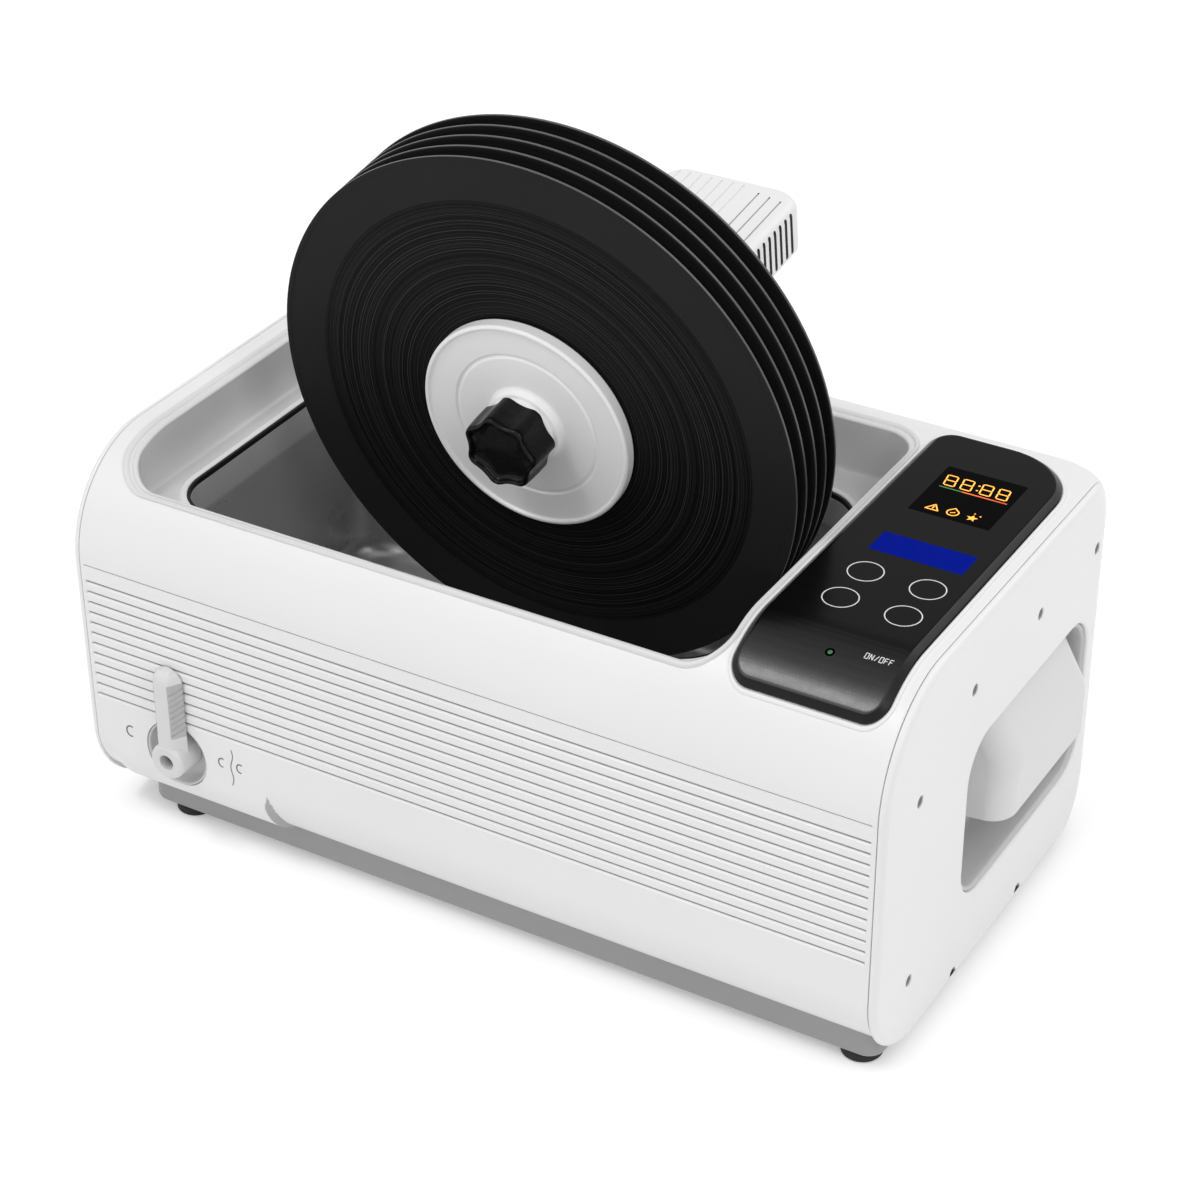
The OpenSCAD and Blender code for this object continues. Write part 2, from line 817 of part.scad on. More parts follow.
module board_transformer() {
    color([0.8, 0.65, 0.2]) place() translate([board_x0 + 4, board_y0 + 12, board_z + board_t])
        difference() {
            cube([34, 44, 36]);
            translate([8, 12, 26]) cube([18, 20, 12]);
        }
}

module board_heatsink() {
    color([0.7, 0.7, 0.72]) place() translate([board_x0 + 4, board_y0 + 70, board_z + board_t])
        difference() {
            cube([34, 80, 36]);
            for (i = [0 : 7]) translate([-1, 4 + i * 9.4, 6]) cube([36, 6, 32]);
        }
}

// A panel that follows the casing's top and front curve
module fascia_plate(rise, sink) {
    intersection() {
        along_x(fascia_x0 - 1, fascia_x1 + 1) difference() {
            rounded(-rise, case_d, shell_z, case_h + rise,
                [bottom_r, bottom_r, rear_top_r, front_top_r + rise]);
            side_outline(sink);
        }
        translate([0, 0, case_h / 2]) linear_extrude(case_h)
            rounded(fascia_x0, fascia_x1, fascia_y0, fascia_y1, [12, 11, 40, 13]);
    }
}

module display_prism(out, z0, z1) {
    upright(display_x - display_w / 2 - out, display_x + display_w / 2 + out,
        display_y1 - display_l - out, display_y1 + out, z0, z1, 1);
}

module label_prism(z0) {
    translate([key_x - label_w / 2, label_y, z0]) cube([label_w, label_l, 1]);
}

module key_places() {
    for (i = [-0.5, 0.5]) for (j = [0, 1])
        translate([key_x + i * key_gap_x, key_y + j * key_gap_y, 0]) children();
}

module control_fascia() {
    color([0.1, 0.1, 0.1]) place() difference() {
        fascia_plate(fascia_rise, 0);
        display_prism(0, case_h + 1, case_h + fascia_rise + 1);
        display_prism(-3, case_h - 5, case_h + fascia_rise + 1);
        label_prism(case_h + fascia_rise - inlay_t - 0.1);
        key_places() translate([0, 0, case_h + fascia_rise - inlay_t - 0.1]) cylinder(r = key_r, h = 2);
        translate([led_x, led_y, case_h / 2]) cylinder(r = 2, h = case_h);
    }
}

module display_window() {
    color([0.05, 0.05, 0.06]) place() display_prism(-0.1, case_h + fascia_rise - lens_t - 0.3,
        case_h + fascia_rise - 0.3);
}

module label_strip() {
    color([0, 0.1, 0.6]) place() intersection() {
        label_prism(case_h + fascia_rise - inlay_t);
        translate([key_x - label_w / 2 + 0.1, label_y + 0.1, case_h])
            cube([label_w - 0.2, label_l - 0.2, fascia_rise - 0.1]);
    }
}

module touch_rings() {
    color([0.9, 0.9, 0.9]) place() key_places() difference() {
        translate([0, 0, case_h + fascia_rise - inlay_t - 0.1]) cylinder(r = key_r - 0.1, h = inlay_t);
        translate([0, 0, case_h + fascia_rise - inlay_t]) cylinder(r = key_r - 1.3, h = 2);
    }
}

// The board carries the touch pads and the display's block of digits
module control_board() {
    color([0.1, 0.35, 0.2]) place() {
        difference() {
            display_prism(-4, case_h - 7.8, case_h + 2);
            for (i = [-1.5, -0.5, 0.5, 1.5]) translate([display_x + i * 9 - 2, display_y1 - 20, case_h + 1])
                cube([4, 9, 2]);
        }
        translate([fascia_x0 + 12, front_top_r + 8, case_h - 9])
            cube([fascia_x1 - fascia_x0 - 24, fascia_y1 - front_top_r - 43, board_t]);
        key_places() translate([0, 0, case_h - 8]) cylinder(r = 8, h = 7.9);
    }
}

module status_led() {
    color([0.2, 0.8, 0.4]) place() translate([led_x, led_y, case_h - 14]) {
        cylinder(r = 1.9, h = 12.5);
        translate([0, 0, -2]) cylinder(r = 3, h = 2);
    }
}

module mains_inlet() {
    color([0.08, 0.08, 0.08]) place() translate([bay_x, 0, inlet_z]) difference() {
        union() {
            translate([-24.6, case_d, -15]) cube([49.2, 3, 30]);
            translate([-23.6, case_d - 24, -13.6]) cube([47.2, 24, 27.2]);
        }
        translate([-12.5, case_d - 16, -8.5]) cube([25, 30, 17]);
    }
    color([0.8, 0.75, 0.5]) place() translate([bay_x, 0, inlet_z])
        for (x = [-7, 0, 7]) translate([x - 1, case_d - 17, x == 0 ? 0 : -3]) cube([2, 14, 4]);
}

module fan_frame() {
    y0 = case_d - wall - fan_t - gap;
    color([0.1, 0.1, 0.1]) place() translate([bay_x, 0, fan_z]) {
        difference() {
            along_y(y0, y0 + fan_t) rounded(-fan_size / 2, fan_size / 2, -fan_size / 2,
                fan_size / 2, [5, 5, 5, 5]);
            rod_y(fan_size / 2 - 2, y0 - 1, y0 + fan_t + 1);
        }
        for (a = [45 : 90 : 315]) rotate([0, a, 0])
            translate([10, y0, -1.5]) cube([fan_size / 2 - 11.5, 3, 3]);
        rod_y(12, y0, y0 + 3);
        rod_y(1.5, y0, y0 + 12);
    }
}

module fan_rotor() {
    y0 = case_d - wall - fan_t - gap + 3.5;
    color([0.12, 0.12, 0.12]) place() translate([bay_x, 0, fan_z]) difference() {
        union() {
            rod_y(12, y0, y0 + 14);
            for (a = [0 : 360 / 7 : 359]) rotate([0, a, 0]) translate([18, y0 + 7, 0])
                rotate([35, 0, 0]) translate([-8, -6, -0.6]) cube([16.5, 12, 1.2]);
        }
        rod_y(1.5 + run_gap, y0 - 1, y0 + 9);
    }
}

module vent_grille() {
    color([0.9, 0.9, 0.9]) place() translate([bay_x, 0, fan_z]) difference() {
        rod_y(fan_size / 2 + 3, case_d, case_d + 2);
        for (i = [-5 : 5]) let (half = sqrt(pow(fan_size / 2 - 2, 2) - pow(abs(i) * 5 + 1.5, 2)))
            translate([-half, case_d - 1, i * 5 - 1.5]) cube([2 * half, 4, 3]);
    }
}

module bracket_screw_places() {
    for (sx = [-1, 1]) for (z = [bracket_z0 + 30, bracket_z1 - 15])
        translate([spindle_x + sx * (column_w / 2 + bracket_wall + 6), 0, z]) children();
}

module arm_bracket() {
    half = column_w / 2 + gap;
    back_y = column_y + column_t + gap;
    color([0.9, 0.9, 0.9]) place() difference() {
        union() {
            translate([spindle_x - half - bracket_wall, case_d, bracket_z0])
                cube([2 * (half + bracket_wall), back_y + bracket_wall - case_d, bracket_z1 - bracket_z0]);
            translate([spindle_x - half - bracket_wall - 11, case_d, bracket_z0])
                cube([2 * (half + bracket_wall + 11), 3, bracket_z1 - bracket_z0]);
        }
        translate([spindle_x - half, column_y - gap, column_z0])
            cube([2 * half, column_t + 2 * gap, bracket_z1]);
        bracket_screw_places() rod_y(2 + run_gap, case_d - 1, case_d + 4);
        translate([spindle_x, 0, lock_z]) rod_y(lock_screw_r + run_gap, back_y - 1, back_y + bracket_wall + 1);
    }
}

module lock_knob() {
    back_y = column_y + column_t + gap;
    color([0.08, 0.08, 0.08]) place() translate([spindle_x, 0, lock_z]) {
        rod_y(lock_screw_r, back_y - 0.1, back_y + bracket_wall + 2);
        difference() {
            rod_y(lock_r, back_y + bracket_wall + 1, back_y + bracket_wall + 11);
            for (a = [0 : 60 : 300]) rotate([0, a, 0]) translate([lock_r + 2, 0, 0])
                rod_y(4, back_y, back_y + bracket_wall + 12);
        }
    }
}

module column_solid(grow) {
    translate([spindle_x - column_w / 2 - grow, column_y - grow, column_z0])
        cube([column_w + 2 * grow, column_t + 2 * grow, neck_z - column_z0 + grow]);
}

module arm_column() {
    color([0.88, 0.88, 0.88]) place() difference() {
        column_solid(0);
        translate([spindle_x - 8, column_y - 1, column_z0 + 16])
            cube([16, column_t - 2, bracket_z1 - column_z0 - 60]);
    }
}

module head_block(inset, y0, y1) {
    intersection() {
        translate([0, 0, head_bottom - 1]) linear_extrude(head_h + 2)
            rounded(-head_w / 2 + inset, head_w / 2 - inset, head_front - 9, head_back - inset,
                [1, 1, head_r - inset, head_r - inset]);
        along_y(y0, y1)
            rounded(-head_w / 2 + inset, head_w / 2 - inset, head_bottom + inset, head_top - inset,
                [1, 1, 1, 1] * (head_edge_r - inset));
    }
}

module head_vents() {
    for (sx = [-1, 1]) for (k = [0 : vent_count - 1])
        translate([sx * head_w / 2, vent_last - k * vent_pitch, 0]) {
            translate([-4, -vent_w / 2, -(vent_h - vent_w) / 2]) cube([8, vent_w, vent_h - vent_w]);
            for (sz = [-1, 1]) translate([0, 0, sz * (vent_h - vent_w) / 2]) rod_x(vent_w / 2, -4, 4);
        }
}

module motor_housing() {
    color([0.93, 0.93, 0.93]) {
        difference() {
            on_spindle() difference() {
                head_block(0, head_front + cover_t, head_back);
                head_block(head_wall, head_front, head_back);
                head_vents();
                for (k = [0 : 6])
                    translate([rib_first + k * rib_pitch - 0.4, head_front, head_top - 0.5])
                        cube([0.8, head_back - head_front - 3, 1]);
                for (k = [0 : 2])
                    translate([slit_first + k * slit_pitch - 0.7, head_front, head_top - 1.2])
                        cube([1.4, head_back - head_front - 7 - k * 1.5, 2]);
                translate([0, head_back, -4]) rod_y(4, -head_wall - 1, 1);
                head_screw_places() rod_y(1.2 + run_gap, head_front, head_front + cover_t + 12);
            }
            place() column_solid(0.05);
        }
        on_spindle() head_screw_places() difference() {
            rod_y(3.8, head_front + cover_t, head_front + cover_t + 12);
            rod_y(1.2 + run_gap, head_front, head_front + cover_t + 13);
        }
    }
}

module head_screw_places() {
    for (sx = [-1, 1]) for (z = [head_bottom + 6, head_top - 6])
        translate([sx * (head_w / 2 - 6), 0, z]) children();
}

module housing_front() {
    color([0.93, 0.93, 0.93]) on_spindle() difference() {
        union() {
            head_block(0, head_front, head_front + cover_t);
            rod_y(bearing_r + 3, head_front - 8, head_front + cover_t);
        }
        rod_y(bearing_r + 0.02, head_front + cover_t - bearing_l, head_front + cover_t + 1);
        rod_y(shaft_r + 0.5, head_front - 9, head_front + cover_t);
        head_screw_places() rod_y(1.2 + run_gap, head_front - 1, head_front + cover_t + 1);
        head_screw_places() rod_y(2.4 + run_gap, head_front - 1, head_front + 1.6);
    }
}

module housing_screws() {
    color([0.7, 0.7, 0.72]) on_spindle() head_screw_places() {
        rod_y(1.2, head_front + 1.6, head_front + cover_t + 10);
        rod_y(2.4, head_front, head_front + 1.6);
    }
}

module gear_plate() {
    inner = head_w / 2 - head_wall - 0.2;
    low = head_bottom + head_wall + 0.2;
    high = head_top - head_wall - 0.2;
    color([0.7, 0.71, 0.73]) on_spindle() difference() {
        along_y(plate_y, plate_y + plate_t) rounded(-inner, inner, low, high, [3, 3, 3, 3]);
        rod_y(bearing_r + 0.02, plate_y - 1, plate_y + plate_t + 1);
        translate([centre_gap, 0, 0]) rod_y(3.5, plate_y - 1, plate_y + plate_t + 1);
    }
}

module spindle_motor() {
    color([0.75, 0.76, 0.78]) on_spindle() translate([centre_gap, 0, 0]) difference() {
        union() {
            rod_y(motor_r, motor_y, motor_y + motor_l);
            rod_y(5, motor_y + motor_l, motor_y + motor_l + 2);
        }
        rod_y(pinion_bore_r + run_gap, motor_y - 1, motor_y + 12);
    }
}

module spindle_bearings() {
    front_y = head_front + cover_t - bearing_l;
    color([0.78, 0.78, 0.8]) on_spindle() difference() {
        union() {
            rod_y(bearing_r, front_y, front_y + bearing_l);
            rod_y(bearing_r, plate_y - 1, plate_y + plate_t);
        }
        rod_y(shaft_r + run_gap, front_y - 1, plate_y + plate_t + 1);
    }
}

// Straight-sided teeth with backlash, points worked out round the pitch circle
function tooth_points(n, m) = [
    for (i = [0 : n - 1])
        for (p = [[-0.32, -1.2], [-0.2, 0], [-0.1, 0.85], [0.1, 0.85], [0.2, 0], [0.32, -1.2]])
            let (a = (i + p[0]) * 360 / n, r = m * (n / 2 + p[1])) [r * cos(a), r * sin(a)]
];

module gear_ring(n, turn, y0, y1) {
    along_y(y0, y1) rotate(turn) polygon(tooth_points(n, gear_module));
}

module motor_pinion() {
    color([0.75, 0.65, 0.3]) on_spindle() translate([centre_gap, 0, 0]) {
        gear_ring(pinion_teeth, pinion_teeth % 2 == 0 ? 180 / pinion_teeth : 0, gear_y, gear_y + gear_t);
        rod_y(pinion_bore_r, gear_y + gear_t, motor_y + 10);
    }
}

module driven_gear() {
    color([0.92, 0.9, 0.85]) on_spindle() difference() {
        union() {
            gear_ring(gear_teeth, 0, gear_y, gear_y + gear_t - 1);
            rod_y(7, gear_y + gear_t - 1, plate_y - 1.1);
        }
        rod_y(shaft_r + 0.01, gear_y - 1, plate_y);
    }
}

module spindle_shaft() {
    color([0.8, 0.8, 0.82]) on_spindle() {
        rod_y(thread_r, -knob_back - knob_t + 4, -clamp_t);
        rod_y(spindle_d / 2, -clamp_t, stack_end);
        rod_y(shaft_r, stack_end, plate_y + plate_t + 2);
    }
}

// A dished plate with a raised rim, one ring groove and a hub, facing -Y
module clamp_plate(bore) {
    r = clamp_d / 2;
    rotate([90, 0, 0]) rotate_extrude() polygon([
        [bore, 0], [r - 1, 0], [r, 1], [r, clamp_t - 1], [r - 1, clamp_t], [r - clamp_rim + 0.6, clamp_t],
        [r - clamp_rim, clamp_t - 1.6], [42, clamp_t - 2.4], [41.2, clamp_t - 3.2], [40.4, clamp_t - 3],
        [hub_r + 5, clamp_t - 2.6], [hub_r, clamp_t + hub_t - 0.6], [hub_r - 1, clamp_t + hub_t],
        [bore, clamp_t + hub_t]
    ]);
}

module front_clamp_plate() {
    color([0.86, 0.86, 0.86]) on_spindle() clamp_plate(spindle_d / 2 + run_gap);
}

module rear_clamp_plate() {
    color([0.86, 0.86, 0.86]) on_spindle() translate([0, stack_end, 0]) mirror([0, 1, 0])
        clamp_plate(shaft_r + 0.01);
}

module clamp_knob() {
    lobe_turn = 360 / knob_lobes;
    color([0.04, 0.04, 0.04]) on_spindle() difference() {
        rod_y(knob_d / 2, -knob_back - knob_t, -knob_back - gap);
        for (i = [0 : knob_lobes - 1]) rotate([0, (i + 0.5) * lobe_turn, 0])
            translate([knob_d / 2 + 7.5, 0, 0]) rod_y(12, -knob_back - knob_t - 1, -knob_back + 1);
        rod_y(knob_d / 2 - 7, -knob_back - knob_t - 1, -knob_back - knob_t + 3);
        rod_y(thread_r + run_gap, -knob_back - knob_t + 3.5, -knob_back + 1);
    }
}

module record_spacers() {
    color([0.06, 0.06, 0.06]) on_spindle() for (k = [0 : record_count - 2])
        difference() {
            rod_y(spacer_r, k * record_pitch + record_t, (k + 1) * record_pitch);
            rod_y(hole_r, k * record_pitch, (k + 1) * record_pitch + 1);
        }
}

// A record has a raised edge bead and a raised label
module record(k) {
    r = record_d / 2;
    color([0.12, 0.12, 0.12]) on_spindle() translate([0, k * record_pitch, 0])
        rotate([-90, 0, 0]) rotate_extrude() polygon([
            [hole_r, 0], [51, 0], [52, 0.3], [r - 4, 0.3], [r - 3, 0], [r - 0.5, 0], [r, 0.5],
            [r, record_t - 0.5], [r - 0.5, record_t], [r - 3, record_t], [r - 4, record_t - 0.3],
            [52, record_t - 0.3], [51, record_t], [hole_r, record_t]
        ]);
}

module record_1() { record(0); }
module record_2() { record(1); }
module record_3() { record(2); }
module record_4() { record(3); }
module record_5() { record(4); }

base_tray();
rubber_feet();
frame_screws();
front_panel();
rear_panel();
top_cover();
left_side_frame();
right_side_frame();
left_end_cap();
right_end_cap();
left_handle();
right_handle();
end_cap_screws();
tank_surround();
tank_gasket();
tank();
transducer_heads();
piezo_discs();
transducer_tails();
heater_pads();
drain_elbow();
valve_body();
valve_cup();
valve_plug();
drain_lever();
generator_board();
board_capacitors();
board_transformer();
board_heatsink();
control_fascia();
display_window();
label_strip();
touch_rings();
control_board();
status_led();
mains_inlet();
fan_frame();
fan_rotor();
vent_grille();
arm_bracket();
lock_knob();
arm_column();
motor_housing();
housing_front();
housing_screws();
gear_plate();
spindle_motor();
spindle_bearings();
motor_pinion();
driven_gear();
spindle_shaft();
rear_clamp_plate();
record_spacers();
record_1();
record_2();
record_3();
record_4();
record_5();
front_clamp_plate();
clamp_knob();
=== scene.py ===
import bmesh
import bpy
import math
from mathutils import Matrix, Vector


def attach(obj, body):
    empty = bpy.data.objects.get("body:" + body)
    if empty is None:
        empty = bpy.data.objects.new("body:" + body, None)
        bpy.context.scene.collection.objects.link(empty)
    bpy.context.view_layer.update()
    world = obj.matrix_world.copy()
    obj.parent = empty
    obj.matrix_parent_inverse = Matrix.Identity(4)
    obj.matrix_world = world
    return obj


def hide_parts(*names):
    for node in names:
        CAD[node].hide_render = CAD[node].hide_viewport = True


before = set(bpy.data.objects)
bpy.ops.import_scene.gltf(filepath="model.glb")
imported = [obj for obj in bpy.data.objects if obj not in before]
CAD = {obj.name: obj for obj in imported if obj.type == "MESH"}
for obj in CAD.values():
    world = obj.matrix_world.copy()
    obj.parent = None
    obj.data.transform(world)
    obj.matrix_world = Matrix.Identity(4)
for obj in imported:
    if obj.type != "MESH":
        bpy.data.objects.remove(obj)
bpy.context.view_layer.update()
scene = bpy.context.scene

# ---------------------------------------------------------------- frame
# Sizes are in millimetres in the casing's own frame and are turned to metres here.
OY = 160.892
LEAN = math.radians(8.3)
SPINDLE = (-19.0, 110.0, 258.0)
SHELL_X, CAP_X = 234.0, 238.5
CASE_D, CASE_H = 284.0, 225.0
PITCH, DISC_R, DISC_T = 10.46, 150.8, 2.0
STACK = 4 * PITCH + DISC_T


def P(x, y, z):
    return Vector((x * 0.001, (y - OY) * 0.001, z * 0.001))


def spindle_matrix():
    m = Matrix.Rotation(LEAN, 4, "X")
    m.translation = P(*SPINDLE)
    return m


SPIN = spindle_matrix()


def M(x, y, z):
    """A point in a piece's own frame, in metres."""
    return Vector((x * 0.001, y * 0.001, z * 0.001))


# ---------------------------------------------------------------- materials
class Mat:
    def __init__(self, name):
        self.m = bpy.data.materials.new(name)
        self.m.use_nodes = True
        self.t = self.m.node_tree
        self.b = self.t.nodes["Principled BSDF"]
        self.co = None

    def coord(self):
        if self.co is None:
            self.co = self.node("ShaderNodeTexCoord").outputs["Object"]
        return self.co

    def node(self, kind, **kw):
        n = self.t.nodes.new(kind)
        for k, v in kw.items():
            setattr(n, k, v)
        return n

    def link(self, a, b):
        self.t.links.new(a, b)

    def noise(self, scale, detail=4, rough=0.55, stretch=None):
        n = self.node("ShaderNodeTexNoise")
        n.inputs["Scale"].default_value = scale
        n.inputs["Detail"].default_value = detail
        n.inputs["Roughness"].default_value = rough
        src = self.coord()
        if stretch:
            mp = self.node("ShaderNodeMapping")
            mp.inputs["Scale"].default_value = stretch
            self.link(src, mp.inputs["Vector"])
            src = mp.outputs["Vector"]
        self.link(src, n.inputs["Vector"])
        return n.outputs["Fac"]

    def span(self, src, a, b, lo=0.3, hi=0.7):
        r = self.node("ShaderNodeMapRange")
        r.inputs["From Min"].default_value = lo
        r.inputs["From Max"].default_value = hi
        r.inputs["To Min"].default_value = a
        r.inputs["To Max"].default_value = b
        self.link(src, r.inputs["Value"])
        return r.outputs["Result"]

    def ramp(self, src, stops):
        r = self.node("ShaderNodeValToRGB")
        e = r.color_ramp.elements
        while len(e) < len(stops):
            e.new(0.5)
        for el, (p, c) in zip(e, stops):
            el.position = p
            el.color = (c[0], c[1], c[2], 1)
        self.link(src, r.inputs["Fac"])
        return r.outputs["Color"]

    def bump(self, heights, strength=0.3):
        """heights: (source, distance in metres), stacked one on the other."""
        last = None
        for src, dist in heights:
            b = self.node("ShaderNodeBump")
            b.inputs["Strength"].default_value = strength
            b.inputs["Distance"].default_value = dist
            self.link(src, b.inputs["Height"])
            if last:
                self.link(last, b.inputs["Normal"])
            last = b.outputs["Normal"]
        self.link(last, self.b.inputs["Normal"])

    def colour(self, src):
        self.link(src, self.b.inputs["Base Color"])

    def rough(self, src):
        self.link(src, self.b.inputs["Roughness"])


def shade(c, k):
    return tuple(min(1.0, v * k) for v in c)


def grey(v):
    """Scene-linear value of an sRGB grey from 0 to 255."""
    s = v / 255.0
    return s / 12.92 if s <= 0.04045 else ((s + 0.055) / 1.055) ** 2.4


def G(v):
    g = grey(v)
    return (g, g, g)


def plastic(name, c, rough=0.38, var=0.05, grain=9000, grain_d=0.00004, spec=0.45, coat=0.0,
            metal=0.0, tint=0.03):
    """Moulded plastic or paint: fine grain, soft flow marks and slow changes of gloss."""
    m = Mat(name)
    slow = m.noise(7, 3)
    fine = m.noise(grain, 2, 0.6)
    mid = m.noise(160, 4)
    m.colour(m.ramp(slow, [(0.3, shade(c, 1 - tint)), (0.7, shade(c, 1 + tint * 0.6))]))
    m.rough(m.span(mid, rough - var, rough + var))
    m.bump([(fine, grain_d), (mid, 0.00006)], 0.22)
    m.b.inputs["Specular IOR Level"].default_value = spec
    m.b.inputs["Metallic"].default_value = metal
    m.b.inputs["Coat Weight"].default_value = coat
    m.b.inputs["Coat Roughness"].default_value = 0.08
    return m.m


def brushed(name, c, rough=0.3, along=(1, 60, 60), metal=1.0, var=0.1, tint=0.12):
    """Metal with fine lines along one axis, small stains and a slow change of tone."""
    m = Mat(name)
    lines = m.noise(60, 6, 0.7, along)
    slow = m.noise(14, 4)
    m.colour(m.ramp(lines, [(0.25, shade(c, 1 - tint)), (0.75, shade(c, 1 + tint))]))
    m.rough(m.span(slow, rough - var, rough + var))
    m.bump([(lines, 0.00005), (m.noise(900, 3), 0.00002)], 0.25)
    m.b.inputs["Metallic"].default_value = metal
    return m.m


def turned(name, c, rough=0.28, metal=1.0, pitch=2600.0):
    """Metal turned on a lathe: rings about the piece's own Y axis."""
    m = Mat(name)
    sep = m.node("ShaderNodeSeparateXYZ")
    m.link(m.coord(), sep.inputs["Vector"])
    com = m.node("ShaderNodeCombineXYZ")
    m.link(sep.outputs["X"], com.inputs["X"])
    m.link(sep.outputs["Z"], com.inputs["Y"])
    ln = m.node("ShaderNodeVectorMath", operation="LENGTH")
    m.link(com.outputs["Vector"], ln.inputs[0])
    w = m.node("ShaderNodeMath", operation="MULTIPLY")
    m.link(ln.outputs["Value"], w.inputs[0])
    w.inputs[1].default_value = pitch
    n = m.node("ShaderNodeTexNoise", noise_dimensions="1D")
    n.inputs["Scale"].default_value = 1.0
    n.inputs["Detail"].default_value = 3
    m.link(w.outputs["Value"], n.inputs["W"])
    m.colour(m.ramp(n.outputs["Fac"], [(0.3, shade(c, 0.92)), (0.7, shade(c, 1.05))]))
    m.rough(m.span(m.noise(30, 3), rough - 0.06, rough + 0.08))
    m.bump([(n.outputs["Fac"], 0.00002)], 0.25)
    m.b.inputs["Metallic"].default_value = metal
    return m.m


def rubber(name, c, rough=0.75):
    m = Mat(name)
    fine = m.noise(5000, 3)
    slow = m.noise(60, 4)
    m.colour(m.ramp(slow, [(0.3, shade(c, 0.8)), (0.7, shade(c, 1.3))]))
    m.rough(m.span(slow, rough - 0.1, rough + 0.1))
    m.bump([(fine, 0.00008)], 0.4)
    m.b.inputs["Specular IOR Level"].default_value = 0.3
    return m.m


def vinyl(name):
    """Pressed vinyl: a smooth outer band, fine grooves whose grey rings and darker tracks are painted sheen, and a
    plain centre.
    """
    m = Mat(name)
    sep = m.node("ShaderNodeSeparateXYZ")
    m.link(m.coord(), sep.inputs["Vector"])
    com = m.node("ShaderNodeCombineXYZ")
    m.link(sep.outputs["X"], com.inputs["X"])
    m.link(sep.outputs["Z"], com.inputs["Y"])
    ln = m.node("ShaderNodeVectorMath", operation="LENGTH")
    m.link(com.outputs["Vector"], ln.inputs[0])
    r = ln.outputs["Value"]

    def ring(scale, detail, seed):
        w = m.node("ShaderNodeMath", operation="MULTIPLY_ADD")
        m.link(r, w.inputs[0])
        w.inputs[1].default_value = scale
        w.inputs[2].default_value = seed
        n = m.node("ShaderNodeTexNoise", noise_dimensions="1D")
        n.inputs["Scale"].default_value = 1.0
        n.inputs["Detail"].default_value = detail
        n.inputs["Roughness"].default_value = 0.7
        m.link(w.outputs["Value"], n.inputs["W"])
        return n.outputs["Fac"]

    tracks = ring(420, 2, 3.1)
    fine = ring(1500, 4, 9.7)
    zone = m.span(r, 1.0, 0.0, 0.1262, 0.1268)
    inner = m.span(r, 0.0, 1.0, 0.0500, 0.0506)
    mask = m.node("ShaderNodeMath", operation="MULTIPLY")
    m.link(zone, mask.inputs[0])
    m.link(inner, mask.inputs[1])
    # painted sheen: grey rings over the black vinyl of the grooves
    groove_sheen = m.ramp(fine, [(0.38, G(4)), (0.48, G(16)), (0.55, G(26)), (0.64, G(62))])
    track_sheen = m.ramp(tracks, [(0.38, (0.45, 0.45, 0.45)), (0.5, (1, 1, 1))])
    mul = m.node("ShaderNodeMix", data_type="RGBA", blend_type="MULTIPLY")
    mul.inputs["Factor"].default_value = 1.0
    m.link(groove_sheen, mul.inputs["A"])
    m.link(track_sheen, mul.inputs["B"])
    mix = m.node("ShaderNodeMix", data_type="RGBA")
    m.link(mask.outputs["Value"], mix.inputs["Factor"])
    plain = m.ramp(m.noise(8, 2), [(0.3, G(33)), (0.7, G(38))])
    m.link(plain, mix.inputs["A"])
    m.link(mul.outputs["Result"], mix.inputs["B"])
    m.colour(mix.outputs["Result"])
    rough = m.node("ShaderNodeMix", data_type="FLOAT")
    m.link(mask.outputs["Value"], rough.inputs["Factor"])
    m.link(m.span(m.noise(20, 3), 0.34, 0.42), rough.inputs["A"])
    m.link(m.span(fine, 0.3, 0.5), rough.inputs["B"])
    m.rough(rough.outputs["Result"])
    hgt = m.node("ShaderNodeMath", operation="MULTIPLY")
    m.link(fine, hgt.inputs[0])
    m.link(mask.outputs["Value"], hgt.inputs[1])
    m.bump([(hgt.outputs["Value"], 0.00025)], 0.6)
    m.b.inputs["Specular IOR Level"].default_value = 0.06
    return m.m


def glow(name, c, strength, base=None):
    m = Mat(name)
    n = m.noise(400, 3)
    m.colour(m.ramp(n, [(0.3, shade(base or c, 0.9)), (0.7, shade(base or c, 1.1))]))
    m.rough(m.span(n, 0.25, 0.4))
    m.b.inputs["Emission Color"].default_value = (*c, 1)
    m.b.inputs["Emission Strength"].default_value = strength
    m.bump([(n, 0.00002)], 0.2)
    return m.m


def board(name, c):
    """Circuit board: solder mask with faint tracks."""
    m = Mat(name)
    b = m.node("ShaderNodeTexBrick")
    b.inputs["Scale"].default_value = 90
    b.inputs["Mortar Size"].default_value = 0.03
    b.inputs["Color1"].default_value = (*c, 1)
    b.inputs["Color2"].default_value = (*shade(c, 0.85), 1)
    b.inputs["Mortar"].default_value = (*shade(c, 1.7), 1)
    m.link(m.coord(), b.inputs["Vector"])
    m.colour(b.outputs["Color"])
    m.rough(m.span(m.noise(200, 3), 0.3, 0.5))
    m.bump([(b.outputs["Fac"], 0.00004)], 0.3)
    return m.m


def wound(name, c):
    """Wound wire: close turns across the piece."""
    m = Mat(name)
    w = m.node("ShaderNodeTexWave", wave_type="BANDS", bands_direction="X")
    w.inputs["Scale"].default_value = 900
    w.inputs["Distortion"].default_value = 0.6
    m.link(m.coord(), w.inputs["Vector"])
    m.colour(m.ramp(w.outputs["Fac"], [(0.2, shade(c, 0.5)), (0.8, shade(c, 1.1))]))
    m.rough(m.span(w.outputs["Fac"], 0.3, 0.5))
    m.bump([(w.outputs["Fac"], 0.0003)], 0.5)
    m.b.inputs["Metallic"].default_value = 0.8
    return m.m


